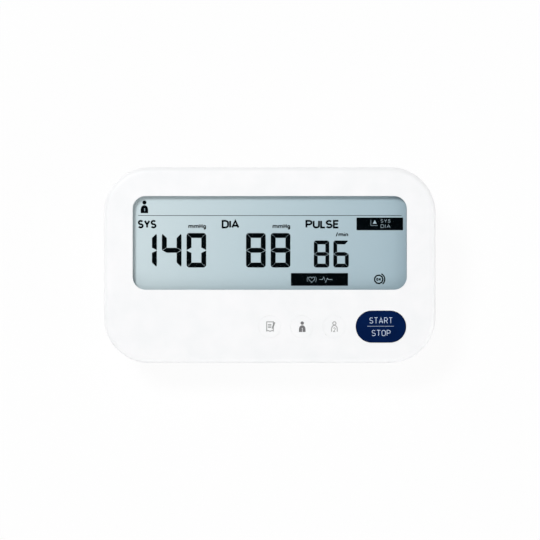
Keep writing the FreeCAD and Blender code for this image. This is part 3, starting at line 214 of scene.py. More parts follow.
def new_material(name, code, roughness, metallic=0.0, ior=1.5, **even):
    """A material whose even values sit on its own shader's sockets."""
    material = bpy.data.materials.new(name)
    material.use_nodes = True
    values = {"Base Color": linear(code), "Roughness": roughness, "Metallic": metallic, "IOR": ior}
    for key, value in even.items():
        values[key.replace("_", " ").title().replace("Ior", "IOR")] = value
    for key, value in values.items():
        shader_of(material).inputs[key].default_value = value
    return material


def drive(material, made, name):
    """Let a node's first output drive one of the shader's sockets."""
    material.node_tree.links.new(made.outputs[0], shader_of(material).inputs[name])


def pattern(
    material, grain, detail=2.0, kind="TexNoise", stretch=(1, 1, 1), turn=(0, 0, 0), **more
):
    """A texture on object coordinates whose features are about so many millimetres wide."""
    place = add_node(material, "TexCoord").outputs["Object"]
    mapped = add_node(material, "Mapping", {"Vector": place, "Scale": stretch, "Rotation": turn})
    settings = {"Vector": mapped, "Scale": 1 / (grain * MM), "Detail": detail, **more}
    return add_node(material, kind, settings)


def stripes(material, pitch, across, **place):
    """Even bands so many millimetres apart; the texture's own are tau / 20 apart at scale 1."""
    grain = pitch * 20 / math.tau
    made = pattern(material, grain, kind="TexWave", bands_direction=across, **place)
    return made.outputs["Fac"]


def bump(material, height, depth):
    """Relief of a depth in millimetres from a pattern that runs from 0 to 1."""
    settings = {"Strength": 1.0, "Distance": depth * MM, "Height": height}
    drive(material, add_node(material, "Bump", settings), "Normal")


def blend_colours(material, factor, codes, stops=(0.3, 0.7)):
    """The base colour runs between colours as a pattern goes between the stops."""
    ramp = add_node(material, "ValToRGB", {"Fac": factor})
    elements = ramp.color_ramp.elements
    while len(elements) < len(codes):
        elements.new(0.5)
    for element, place, code in zip(elements, np.linspace(*stops, len(codes)), codes):
        element.position = place
        element.color = linear(code)
    drive(material, ramp, "Base Color")


def vary_roughness(material, factor, low, high):
    settings = {"To Min": low, "To Max": high, "Value": factor}
    drive(material, add_node(material, "MapRange", settings), "Roughness")


def show_share(material, share, first, second):
    """The surface shows a share of a second shader over a first one."""
    mixed = add_node(material, "MixShader", {0: share, 1: first, 2: second})
    surface = material.node_tree.nodes["Material Output"].inputs["Surface"]
    material.node_tree.links.new(mixed.outputs["Shader"], surface)


def grained(name, codes, roughness, patch, grain, depth, detail=2.0, **even):
    """A finish whose colour drifts over patches and whose relief has a grain, in millimetres."""
    material = new_material(name, codes[-1], roughness, **even)
    bump(material, pattern(material, grain, detail), depth)
    blend_colours(material, pattern(material, patch, detail), codes)
    return material


def moulded(name, code, darker, roughness, grain=0.5, depth=0.006, **even):
    """Injection-moulded plastic: the tool's fine spark texture breaks up its sheen."""
    material = new_material(name, code, roughness, ior=1.53, **even)
    # The real texture is about 0.1 mm; it is drawn coarser so that it shows.
    bump(material, pattern(material, grain, 3.0), depth)
    blend_colours(material, pattern(material, grain * 24), (darker, code))
    vary_roughness(material, pattern(material, grain * 5), roughness - 0.05, roughness + 0.05)
    return material


def case_abs():
    """White ABS, spark-textured: a soft, even sheen with no mirror image."""
    return moulded("White moulded ABS", tint("case"), "#F4F5F6", 0.46)


def key_abs():
    """Navy ABS, moulded smoother than the case, so its edge catches a thin light line."""
    even = {"specular_ior_level": 0.02}
    return moulded("Navy moulded ABS", tint("start_key"), "#02163F", 0.42, 0.4, 0.003, **even)


def printed_ink(name, code):
    """Pad-printed ink: matt, with edges a little thicker than its middle."""
    return grained(name, (code, code), 0.6, 2.0, 0.3, 0.002)


def rubber(name, code, darker, roughness=0.8):
    """Moulded rubber: matt, with a fine dusty grain."""
    return grained(name, (darker, code), roughness, 4.0, 0.25, 0.006, 3.0, ior=1.52)


def silicone():
    """Extruded silicone tube: milky, so light goes a little way into it."""
    even = {"subsurface_weight": 0.3, "subsurface_radius": (0.002, 0.002, 0.002)}
    codes = ("#D9DCDB", "#E6E8E7")
    return grained("Milky silicone", codes, 0.35, 5.0, 0.8, 0.01, ior=1.41, **even)


def ferrite():
    """Sintered ferrite: dull charcoal with a coarse grain."""
    return grained("Sintered ferrite", ("#232326", "#3A3A3E"), 0.7, 0.8, 0.35, 0.04, 5.0)


def metal(name, code, darker, roughness, stretch=(1, 1, 1), grain=0.3):
    """Plated or ground metal: its marks run one way and vary the sheen along them."""
    material = new_material(name, code, roughness, metallic=1.0)
    marks = pattern(material, grain, 3.0, stretch=stretch)
    vary_roughness(material, marks, roughness * 0.8, roughness * 1.3)
    bump(material, marks, 0.002)
    blend_colours(material, pattern(material, grain * 10), (darker, code))
    return material


def wound_copper(name, code, dark, across):
    """Enamelled wire in side-by-side turns; each turn is drawn 0.8 mm wide so that it shows. Each
    turn darkens towards its grooves: painted shade between the turns.
    """
    material = new_material(name, code, 0.3, metallic=1.0)
    turns = stripes(material, 0.8, across)
    bump(material, turns, 0.15)
    # Painted shade: each turn's colour darkens towards the grooves between turns.
    blend_colours(material, turns, (dark, code), (0.0, 0.6))
    return material


def clear_sheet(name, code, patch, low, high, face_on, edge_on):
    """A polished clear sheet, of which only its reflection shows: a share of it face on, and
    another edge on.

    The share rises with the fifth power of how far the view leans, as it does on any surface."""
    material = new_material(name, code, low, metallic=1.0)
    vary_roughness(material, pattern(material, patch), low, high)
    lean = add_node(material, "LayerWeight", {"Blend": 0.5}).outputs["Facing"]
    steep = add_node(material, "Math", {"operation": "POWER", 0: lean, 1: 5.0})
    rise = {"operation": "MULTIPLY_ADD", 0: steep, 1: edge_on - face_on, 2: face_on}
    shine = add_node(material, "Math", rise)
    show_share(material, shine, add_node(material, "BsdfTransparent"), shader_of(material))
    return material


def display_film():
    """The polariser over a reflective display: pale blue-green, with painted shade that darkens it
    away from the light side, towards the lower right.

    The hue drifts in broad soft patches, as the liquid crystal's thickness does."""
    light = tint("display_lit_side")
    material = new_material("Reflective display film", light, 0.5, specular_ior_level=0.0)
    place = add_node(material, "TexCoord").outputs["Object"]
    span = (FILM_HIGH[0] - FILM_LOW[0]) * MM
    # Painted shade: this slope darkens the colour from the upper left towards the lower right, away
    # from the light side.
    slope = {"operation": "DOT_PRODUCT", 0: place, 1: (0.95 / span, -0.2 / span, 0.0)}
    across = add_node(material, "VectorMath", slope).outputs["Value"]
    patches = pattern(material, 42.0, 1.0)
    drift = {"operation": "MULTIPLY_ADD", 0: patches, 1: 0.12, 2: 0.5 - 0.06}
    shade = {"operation": "ADD", 0: across, 1: add_node(material, "Math", drift)}
    codes = (light, "#BACDD4", tint("display_shaded_side"))
    blend_colours(material, add_node(material, "Math", shade), codes, (0.03, 0.97))
    bump(material, pattern(material, 0.6), 0.002)
    return material


def display_segments():
    """Liquid crystal that is switched on: near black, a little blue."""
    dark = tint("segments")
    material = new_material("Switched liquid crystal", dark, 0.6, specular_ior_level=0.0)
    blend_colours(material, pattern(material, 3.0), (dark, "#04090C"))
    return material


def solder_resist():
    """A green board: lighter where copper tracks run under the lacquer.

    Box-shaped patches choose at random between tracks across, tracks up and plain copper."""
    material = new_material("Green solder resist", "#0E5B2E", 0.35, coat_weight=0.4)
    level = (math.radians(-15), 0, 0)  # turns the row frame on to the board
    how = {"kind": "TexVoronoi", "distance": "CHEBYCHEV", "Randomness": 0.9}
    patches = pattern(material, 16.0, 0.0, turn=level, **how).outputs["Color"]
    chance = add_node(material, "SeparateColor", {"Color": patches}).outputs

    def above(limit, value):
        return add_node(material, "Math", {"operation": "GREATER_THAN", 0: value, 1: limit})

    across, along = (stripes(material, 1.6, axis, turn=level) for axis in ("X", "Y"))
    way = above(0.5, chance["Red"])
    track = add_node(material, "Mix", {"Factor": way, "A": across, "B": along})
    chosen = above(0.3, chance["Green"])
    shown = add_node(material, "Math", {"operation": "MULTIPLY", 0: above(0.6, track), 1: chosen})
    blend_colours(material, shown, ("#0C4F28", "#1A6B3A"), (0.4, 0.6))
    bump(material, shown, 0.04)
    return material


def striped_rubber():
    """Layered conductive rubber: dark and pale layers, drawn 0.6 mm wide so that they show."""
    material = new_material("Layered conductive rubber", "#3A3A3D", 0.6)
    blend_colours(material, stripes(material, 0.6, "X"), ("#232325", "#A8A49C"), (0.45, 0.55))
    return material


# Meshes


def grid_mesh(name, points, lengthwise=False, capped=True):
    """A mesh over rows of points that each run once round, joined to the next row.

    lengthwise joins the last row to the first, and capped closes the two end rows."""
    rows, around = points.shape[:2]
    index = np.arange(rows * around).reshape(rows, around)
    if lengthwise:
        index = np.vstack((index, index[:1]))
    looped = np.hstack((index, index[:, :1]))
    corners = (looped[:-1, :-1], looped[:-1, 1:], looped[1:, 1:], looped[1:, :-1])
    faces = np.stack(corners, -1).reshape(-1, 4).tolist()
    if capped:
        faces += [index[0].tolist(), index[-1].tolist()]
    mesh = bpy.data.meshes.new(name)
    mesh.from_pydata(points.reshape(-1, 3).tolist(), [], faces)
    return mesh


def seal(mesh, crease=35.0, outward=True):
    """Weld the doubles, point the faces outwards, and shade smooth except over creases."""
    work = bmesh.new()
    work.from_mesh(mesh)
    bmesh.ops.remove_doubles(work, verts=work.verts, dist=WELD)
    bmesh.ops.dissolve_degenerate(work, edges=work.edges, dist=WELD / 2)
    if outward:
        bmesh.ops.recalc_face_normals(work, faces=work.faces)
    limit = math.radians(crease)
    for edge in work.edges:
        edge.smooth = edge.calc_face_angle(0.0) < limit
    for face in work.faces:
        face.smooth = True
    work.to_mesh(mesh)
    work.free()
    return mesh


def joined(name, meshes):
    """Several meshes as one."""
    work = bmesh.new()
    for mesh in meshes:
        work.from_mesh(mesh)
        bpy.data.meshes.remove(mesh)
    whole = bpy.data.meshes.new(name)
    work.to_mesh(whole)
    work.free()
    return whole


def add_object(name, data):
    """Put an object into the scene."""
    made = bpy.data.objects.new(name, data)
    bpy.context.scene.collection.objects.link(made)
    return made


def settled(made, name):
    """The mesh that an object's curves and modifiers give."""
    graph = bpy.context.evaluated_depsgraph_get()
    mesh = bpy.data.meshes.new_from_object(made.evaluated_get(graph))
    mesh.name = name
    return mesh


def add_piece(mesh, body, finish, slot, *stands_for):
    """Put a mesh into the scene as a piece that rides on a body."""
    piece = add_object(mesh.name, mesh)
    mesh.materials.clear()
    mesh.materials.append(finish)
    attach(piece, body)
    if stands_for:
        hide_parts(*stands_for)
    return piece


def level_normals(piece):
    """Let flat faces rule the shading where they run into a rounded edge."""
    made = piece.modifiers.new("Level normals", "WEIGHTED_NORMAL")
    made.keep_sharp = True
    made.weight = 100


def dress(finish, slot, *nodes, radius=0.0):
    """Stand welded, smooth copies in for CAD nodes, their creases rounded by a radius in mm."""
    for node in nodes:
        shape = frame["nodes"][node]
        mesh = shape.data.copy()
        mesh.name = f"{node}_surface"
        piece = add_piece(seal(mesh, outward=False), shape["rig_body"], finish, slot, node)
        if radius:
            made = piece.modifiers.new("Soft edges", "BEVEL")
            made.width = radius * MM
            made.segments = 2
            made.limit_method = "ANGLE"
            made.angle_limit = math.radians(40)
        level_normals(piece)
    return piece


def to_face(mesh, x=0.0, y=0.0, z=0.0):
    """Move a mesh from its own millimetres to a place on the face."""
    mesh.transform(FACE_MATRIX @ Matrix.Translation((x, y, z)))
    return mesh


def to_row(mesh, x, y, z, turn=Matrix()):
    """Move a mesh from its own millimetres to a place in the row frame, turned first."""
    mesh.transform(Matrix.Scale(MM, 4) @ Matrix.Translation((x, y, z)) @ turn)
    return mesh


# Outlines: points in order round a shape, and the direction outwards at each


def rounded_outline(width, height, radius, steps=12):
    """A rectangle with round corners: each corner is its own centre plus a quarter circle."""
    turn = np.linspace(0, math.pi / 2, steps)
    angles = np.concatenate([turn + quarter * math.pi / 2 for quarter in range(4)])
    outward = np.stack((np.cos(angles), np.sin(angles)), -1)
    signs = np.repeat(((1, 1), (-1, 1), (-1, -1), (1, -1)), steps, axis=0)
    centres = signs * (width / 2 - radius, height / 2 - radius)
    return centres + outward * radius, outward


def round_outline(radius, steps=48):
    """A circle: its radius times the direction outwards."""
    angles = np.linspace(0, math.tau, steps, endpoint=False)
    outward = np.stack((np.cos(angles), np.sin(angles)), -1)
    return outward * radius, outward


def carried(name, outline, profile, **how):
    """A profile carried round an outline.

    A profile point (a, h) gives, at each place of the outline, the place moved outwards by a
    and raised by h."""
    places, outward = outline
    steps = np.array(profile, float)
    flat = places[None] + outward[None] * steps[:, None, None, 0]
    height = np.broadcast_to(steps[:, 1, None, None], flat.shape[:2] + (1,))
    return grid_mesh(name, np.concatenate((flat, height), -1), **how)


def bow(x, y, across, along, start, end, steps=10):
    """Points on an ellipse about (x, y) between two angles in degrees."""
    angles = np.radians(np.linspace(start, end, steps))
    return list(zip(x + across * np.cos(angles), y + along * np.sin(angles)))


def quarter_round(x, z, radius, start=0.0):
    """Points of a quarter circle about (x, z), from a start angle in degrees."""
    return bow(x, z, radius, radius, start, start + 90, 6)


def inner_corners(low, high, inset):
    """The four places that lie an inset inside the corners of a box."""
    ways = ((low[0] + inset, high[0] - inset), (low[1] + inset, high[1] - inset))
    return [(x, y) for x in ways[0] for y in ways[1]]


def flat_shape(name, outlines, thickness):
    """A thin plate from closed outlines on the xy plane; an outline inside another is a hole."""
    curve = bpy.data.curves.new(name, "CURVE")
    curve.dimensions = "2D"
    curve.fill_mode = "BOTH"
    curve.extrude = thickness / 2
    for outline in outlines:
        points = np.array(outline, float)
        if np.allclose(points[0], points[-1]):
            points = points[:-1]
        spline = curve.splines.new("POLY")
        spline.points.add(len(points) - 1)
        flat = np.concatenate((points, np.zeros((len(points), 1)), np.ones((len(points), 1))), 1)
        spline.points.foreach_set("co", flat.ravel())
        spline.use_cyclic_u = True
    made = add_object(name, curve)
    mesh = settled(made, name)
    bpy.data.objects.remove(made)
    return mesh


def pen_stroke(line, width, thickness):
    """A flat stroke of even width along a line, which is a loop where its ends meet.

    A rectangle is carried along the line. At each point it turns to the middle of the two
    directions and widens by one over the cosine of half the bend."""
    line = np.array(line, float)
    loop = np.allclose(line[0], line[-1])
    steps = np.diff(line, axis=0)
    steps /= np.linalg.norm(steps, axis=1)[:, None]
    before = np.vstack((steps[-1:] if loop else steps[:1], steps))
    after = np.vstack((steps, steps[:1] if loop else steps[-1:]))
    along = before + after
    along /= np.linalg.norm(along, axis=1)[:, None]
    side = np.stack((-along[:, 1], along[:, 0]), -1)
    bend = np.clip((along * before).sum(1), 0.5, 1.0)[:, None]
    moved = side * width / 2 / bend
    rows = np.stack((line - moved, line + moved, line + moved, line - moved), 1)
    level = np.array((-0.5, -0.5, 0.5, 0.5))[None, :, None] * thickness
    points = np.concatenate((rows, np.broadcast_to(level, rows.shape[:2] + (1,))), -1)
    if loop:
        return grid_mesh("Stroke", points[:-1], lengthwise=True, capped=False)
    return grid_mesh("Stroke", points)


BOWL = [(0, 0.46), (0, 1), *bow(0.27, 0.73, 0.27, 0.27, 90, -90), (0, 0.46)]
UPPER_D, LOWER_D = bow(0.24, 0.7, 0.32, 0.3, 90, 0), bow(0.24, 0.3, 0.32, 0.3, 0, -90)
UPPER_O, LOWER_O = bow(0.29, 0.7, 0.29, 0.3, 180, 0), bow(0.29, 0.3, 0.29, 0.3, 0, -180)
UPPER_S, LOWER_S = bow(0.28, 0.74, 0.26, 0.26, 30, 265), bow(0.28, 0.25, 0.28, 0.25, 80, -155)
BOWL_G, TAIL_G = bow(0.25, 0.33, 0.25, 0.33, 0, 360), bow(0.25, -0.04, 0.25, 0.24, 0, -130)
FIRST_M, NEXT_M = bow(0.26, 0.42, 0.26, 0.24, 180, 0), bow(0.78, 0.42, 0.26, 0.24, 180, 0)

# Each letter's width, and its centre lines in a cell that is one unit high.
LETTERS = {
    "A": (0.64, [(0, 0), (0.32, 1), (0.64, 0)], [(0.1, 0.28), (0.54, 0.28)]),
    "D": (0.56, [(0, 0), (0, 1), *UPPER_D, *LOWER_D, (0, 0)]),
    "E": (0.48, [(0.48, 1), (0, 1), (0, 0), (0.48, 0)], [(0, 0.52), (0.42, 0.52)]),
    "H": (0.58, [(0, 0), (0, 1)], [(0.58, 0), (0.58, 1)], [(0, 0.52), (0.58, 0.52)]),
    "I": (0.0, [(0, 0), (0, 1)]),
    "K": (0.54, [(0, 0), (0, 1)], [(0.52, 1), (0.02, 0.42)], [(0.2, 0.6), (0.54, 0)]),
    "L": (0.34, [(0, 1), (0, 0), (0.42, 0)]),
    "O": (0.58, [*UPPER_O, *LOWER_O, (0, 0.7)]),
    "P": (0.54, [(0, 0), (0, 0.46)], BOWL),
    "R": (0.56, [(0, 0), (0, 0.46)], BOWL, [(0.26, 0.46), (0.56, 0)]),
    "S": (0.56, [*UPPER_S, *LOWER_S]),
    "T": (0.56, [(0, 1), (0.56, 1)], [(0.28, 1), (0.28, 0)]),
    "U": (0.56, [(0, 1), *bow(0.28, 0.28, 0.28, 0.28, 180, 360), (0.56, 1)]),
    "Y": (0.6, [(0, 1), (0.3, 0.44), (0.6, 1)], [(0.3, 0.44), (0.3, 0)]),
    "g": (0.5, BOWL_G, [(0.5, 0.66), *TAIL_G]),
    "i": (0.0, [(0, 0), (0, 0.68)], [(0, 0.92), (0, 1.02)]),
    "m": (1.04, [(0, 0), (0, 0.68)], [*FIRST_M, (0.52, 0)], [*NEXT_M, (1.04, 0)]),
    "n": (0.5, [(0, 0), (0, 0.68)], [*bow(0.25, 0.42, 0.25, 0.24, 180, 0), (0.5, 0)]),
    "/": (0.36, [(0, -0.08), (0.36, 1.05)]),
    "1": (0.2, [(0, 0.78), (0.2, 1), (0.2, 0)]),
    "2": (0.5, [*bow(0.25, 0.74, 0.25, 0.26, 165, -35), (0, 0), (0.5, 0)]),
}


def lettering(words, box, stroke, space=0.1):
    """Words in one even pen stroke, stretched to fill a box of (left, right, base, top).

    Every letter is drawn as centre lines in a cell one unit high, whose width the letter has,
    and space is the gap between letters as a share of their height."""
    left, right, base, top = box
    high = top - base - stroke
    gap = stroke + space * high
    letters = [LETTERS[letter] for letter in words]
    stretch = (right - left - stroke - gap * (len(words) - 1)) / sum(width for width, *_ in letters)
    pen = left + stroke / 2
    meshes = []
    for width, *lines in letters:
        for line in lines:
            points = np.array(line) * (stretch, high) + (pen, base + stroke / 2)
            meshes.append(pen_stroke(points, stroke, size("ink")))
        pen += width * stretch + gap
    return joined("Words", meshes)


# Case


def cut_away(piece, mesh):
    """Cut a closed mesh out of a piece for good."""
    tool = add_object("Cutter", mesh)
    made = piece.modifiers.new("Cut", "BOOLEAN")
    made.object = tool
    made.solver = "EXACT"
    result = settled(piece, piece.data.name)
    piece.modifiers.clear()
    bpy.data.objects.remove(tool)
    piece.data = seal(result, outward=False)


def seam_cutter():
    """A ring round the case just under the parting line, square in section."""
    outside = 2.0
    low, top = PARTING - size("seam_height"), PARTING + 0.1
    depth = size("seam_depth")
    profile = ((-depth, low), (outside, low), (outside, top), (-depth, top))
    outline = rounded_outline(*(CASE_HIGH - CASE_LOW)[:2], CORNER_RADIUS, 24)
    mesh = carried("Seam cutter", outline, profile, lengthwise=True, capped=False)
    return seal(to_face(mesh))


def make_case():
    """Both halves of the case, with a shadow groove between them."""
    finish = case_abs()
    base = dress(finish, "white_shell", "upper_case", "lower_case")
    base.modifiers.clear()
    cut_away(base, seam_cutter())
    level_normals(base)


def make_battery_cover():
    """The sliding cover, with a raised arrow that shows which way it opens."""
    finish = case_abs()
    dress(finish, "white_shell", "battery_cover", radius=size("soft_edge"))
    low, high = row_box("battery_cover")
    arrow = flat_shape("cover_arrow", [((-5.0, 0.0), (5.0, 0.0), (0.0, 6.0))], 0.5)
    front = low[1] + (high[1] - low[1]) * 0.35
    add_piece(to_row(arrow, 0.0, front, low[2]), "battery_cover", finish, "white_shell")


# Keys


def stem_mesh(low):
    """The square stem under a key, with soft corners."""
    return carried("Stem", rounded_outline(4.0, 4.0, 0.4, 4), ((0, low), (0, FLANGE_LOW)))


KEY_REACH = 1.4  # of the long key's flange past its cap
KEY_WIDTH, KEY_HEIGHT = (START_HIGH - START_LOW)[:2] - KEY_REACH * 2
CROWN = 0.22  # rise of the long key's middle over its rolled edge
RIM = START_HIGH[2] - CROWN


def crown_rise(t):
    """Rise of the crown: CROWN times (1 - (1 - t) squared), t from the edge to the middle line."""
    return CROWN * (1 - (1 - t) ** 2)


def make_start_key():
    """The long key: a stadium cap with a rolled edge and a slight crown, on its flange."""
    edge = size("key_round")
    t = np.linspace(0, 1, 14)[1:]
    dome = list(zip(-edge - (KEY_HEIGHT / 2 - edge) * t * 0.99, RIM + crown_rise(t)))
    profile = [(KEY_REACH, FLANGE_LOW), (KEY_REACH, FLANGE_TOP), (0, FLANGE_TOP)]
    profile += quarter_round(-edge, RIM - edge, edge) + dome
    cap = carried("Cap", rounded_outline(KEY_WIDTH, KEY_HEIGHT, KEY_HEIGHT / 2, 24), profile)
    mesh = joined("start_stop_key_cap", [cap, stem_mesh(START_LOW[2])])
    mesh = seal(to_face(mesh, START_MIDDLE, KEY_LINE))
    add_piece(mesh, "start_stop_key", key_abs(), "navy_key_plastic", "start_stop_button")


def lay_on_key(mesh):
    """Bend a flat print over the long key's crown, by how far each point is from its middle."""
    places = read_places(mesh.vertices, "co")
    past = np.clip(np.abs(places[:, 0]) - (KEY_WIDTH - KEY_HEIGHT) / 2, 0, None)
    away = np.hypot(past, places[:, 1])
    t = np.clip(1 - away / (KEY_HEIGHT / 2 - size("key_round")), 0, 1)
    places[:, 2] += RIM + crown_rise(t) + 0.01
    mesh.vertices.foreach_set("co", places.ravel())
    return mesh


def make_round_key(name):
    """A flush round key with a hair-thin gap, its two ears and its stem."""
    low, high = face_box(f"{name}_button")
    radius = (high[1] - low[1]) / 2 + 0.09
    edge = 0.06
    profile = [(0, FLANGE_LOW), *quarter_round(-edge, -edge, edge)]
    cap = carried("Cap", round_outline(radius, 72), profile)
    outline = rounded_outline(high[0] - low[0], 5.0, 0.5, 4)
    ears = carried("Ears", outline, ((0, FLANGE_LOW), (0, FLANGE_TOP)))
    mesh = joined(f"{name}_key_cap", [cap, ears, stem_mesh(low[2])])
    mesh = seal(to_face(mesh, (low[0] + high[0]) / 2, KEY_LINE))
    add_piece(mesh, f"{name}_key", case_abs(), "round_key_plastic", f"{name}_button")


def make_switches():
    """Finishes of the switches under the keys."""
    red = moulded("Red moulded nylon", "#B0251B", "#A02018", 0.4)
    dress(red, "plunger_plastic", *(f"{key}_switch_plunger" for key in ("start_stop", *ROUND_KEYS)))
    black = moulded("Black moulded nylon", "#1A1B1D", "#141517", 0.5)
    dress(black, "dark_moulding", "tact_switches")


# Printing on the keys


def person_parts(width, height):
    """A head and a round-shouldered body: a circle over an arch."""
    head = height * 0.165
    low = -height / 2
    rise = height - head * 2.25
    arch = bow(0, low + rise * 0.45, width / 2, rise * 0.55, 0, 180)
    body = [(width / 2, low), *arch, (-width / 2, low)]
    return bow(0, height / 2 - head, head, head, 0, 360), body


def sheet_lines():
    """A sheet with a wavy foot, and three lines of writing on it."""
    left, right, top, low = -1.85, 1.75, 2.6, -2.3
    wave = np.linspace(left, right, 16)
    foot = list(zip(wave, low + 0.15 * np.sin((wave - left) * math.tau / (right - left) * 1.5)))
    sheet = [*foot, (right, top), (left, top), foot[0]]
    return [sheet] + [[(-1.2, y), (0.7, y)] for y in (1.15, 0.35, -0.45)]


def pen_outline():
    """A pen from the lower left to the upper right, with a pointed tip."""
    along = np.array((0.38, 0.925))
    side = np.array((-0.925, 0.38)) * 0.42
    tip = np.array((0.95, -1.45))
    shoulder = tip + along * 1.1
    end = tip + along * 4.1
    return [tip, shoulder - side, end - side, end + side, shoulder + side]


def print_on_key(name, key, shapes, code, layer=0):
    """Print shapes about the middle of a round key; a second layer lies on the first."""
    low, high = face_box(f"{key}_button")
    height = high[2] + size("ink") * (layer + 0.5)
    middle = (low[0] + high[0]) / 2 + 0.2  # the icons stand a little to the right
    mesh = seal(to_face(joined(name, shapes), middle, KEY_LINE, height))
    add_piece(mesh, f"{key}_key", printed_ink(f"{name} ink", code), "round_key_plastic")


def make_icons():
    """The icons of the memory key and the two users' keys."""
    ink = size("ink")
    line = 0.5
    memory = [pen_stroke(part, line, ink) for part in sheet_lines()]
    memory.append(flat_shape("Pen", [pen_outline()], ink))
    print_on_key("memory_icon", "memory", memory, tint("icon_middle"))
    filled = [flat_shape("Figure", person_parts(3.5, 5.8), ink)]
    print_on_key("user_1_icon", "user_1", filled, tint("icon_dark"))
    one = [lettering("1", (-0.28, 0.22, -2.9, -0.6), 0.28)]
    print_on_key("user_1_number", "user_1", one, tint("case"), 1)
    drawn = [pen_stroke(part, line, ink) for part in person_parts(3.55 - line, 5.9 - line)]
    drawn.append(lettering("2", (-0.7, 0.7, -2.9, -0.4), 0.42))
    print_on_key("user_2_icon", "user_2", drawn, tint("icon_light"))


def make_key_lettering():
    """START over a line over STOP, in pale ink that follows the long key's crown."""
    stroke, space = 0.25, 0.2
    line = [(x, 0.25) for x in np.linspace(-7.4, 7.0, 24)]
    finish = printed_ink("Pale key ink", tint("lettering"))
    prints = {
        "start_word": lettering("START", (-6.25, 6.25, 1.75, 5.0), stroke, space),
        "start_stop_line": pen_stroke(line, stroke * 0.55, size("ink")),
        "stop_word": lettering("STOP", (-5.0, 5.15, -5.05, -1.8), stroke, space),
    }
    for name, mesh in prints.items():
        mesh.name = name
        mesh = seal(to_face(lay_on_key(mesh), START_MIDDLE, KEY_LINE))
        add_piece(mesh, "start_stop_key", finish, "navy_key_plastic")


# Window and display


def make_window():
    """The clear window, and the tape that holds it."""
    # The window's coating against glare makes it hard to see face on and dim at a slant.
    clear = clear_sheet("Clear coated acrylic", "#E9F1F3", 8.0, 0.03, 0.06, 0.0005, 0.35)
    dress(clear, "clear_lens", "display_lens", radius=size("soft_edge"))
    dress(rubber("Black foam tape", "#1B1C1D", "#141516"), "adhesive_tape", "lens_tape")


def make_display():
    """The display's own layers, the tray behind them and the rubber connector."""
    dress(display_film(), "polariser_film", "lcd_polariser")
    # Display glass is clear, with the faint green of its edge.
    glass = clear_sheet("Display glass", "#DDEBE6", 6.0, 0.03, 0.08, 0.04, 1.0)
    dress(glass, "display_glass", "lcd_front_glass", "lcd_rear_glass")
    # Aluminised film is a bright, brushed, diffusing metal.
    silver = metal("Aluminised film", "#C9CFCF", "#B9C0C0", 0.45, grain=0.5)
    dress(silver, "reflector_film", "lcd_reflector")
    tray = moulded("White tray polystyrene", "#EFEFEC", "#E8E8E4", 0.5)
    dress(tray, "tray_plastic", "lcd_frame")
    dress(striped_rubber(), "conductive_rubber", "zebra_connector")


SEGMENTS = {"0": "abcdef", "1": "bc", "4": "bcfg", "6": "acdefg", "8": "abcdefg"}


def segment_outlines(width, height, stroke, gap):
    """The seven segments of a digit whose outer corners are round and whose joints are mitred.

    a is the top, then b to f clockwise, and g is the middle bar. The sides are made once, as
    the upper left one, and mirrored."""
    right, top = width / 2, height / 2
    inside, under = right - stroke, top - stroke
    corner, cut = stroke * 0.55, gap / 2
    bend = np.array(bow(corner - right, top - corner, corner, corner, 90, 180, 9))
    over, down = bend[4::-1] + (cut, 0), bend[4:] - (0, cut)
    bar = np.vstack((over, over[::-1] * (-1, 1), ((inside - cut, under), (cut - inside, under))))
    side = np.vstack((down, ((-right, gap), (-inside, stroke / 2 + gap), (-inside, under - cut))))
    half = np.array(((gap * 1.5 - right, 0), (-inside, stroke / 2), (inside, stroke / 2)))
    return {
        "a": bar,
        "b": side * (-1, 1),
        "c": side * (-1, -1),
        "d": bar * (1, -1),
        "e": side * (1, -1),
        "f": side,
        "g": np.vstack((half, -half)),
    }


def number_outlines(digits, height, stroke, pitch, right_edge):
    """The segments that are on in a number that ends at a right edge and stands on its base."""
    base = -1.27
    width = height * 0.57
    shapes = segment_outlines(width, height, stroke, size("segment_gap"))
    outlines = []
    for place, digit in enumerate(reversed(digits)):
        middle = (right_edge - width / 2 - pitch * place, base + height / 2)
        outlines += [shapes[name] + middle for name in SEGMENTS[digit]]
    return outlines


def heart_outline(width, x, y):
    """A heart: x = 16 sin^3 t and y = 13 cos t - 5 cos 2t - 2 cos 3t - cos 4t, scaled."""
    t = np.linspace(0, math.tau, 40, endpoint=False)
    across = 16 * np.sin(t) ** 3
    along = 13 * np.cos(t) - 5 * np.cos(2 * t) - 2 * np.cos(3 * t) - np.cos(4 * t)
    return np.stack((x + across * width / 32, y + along * width / 32), -1)


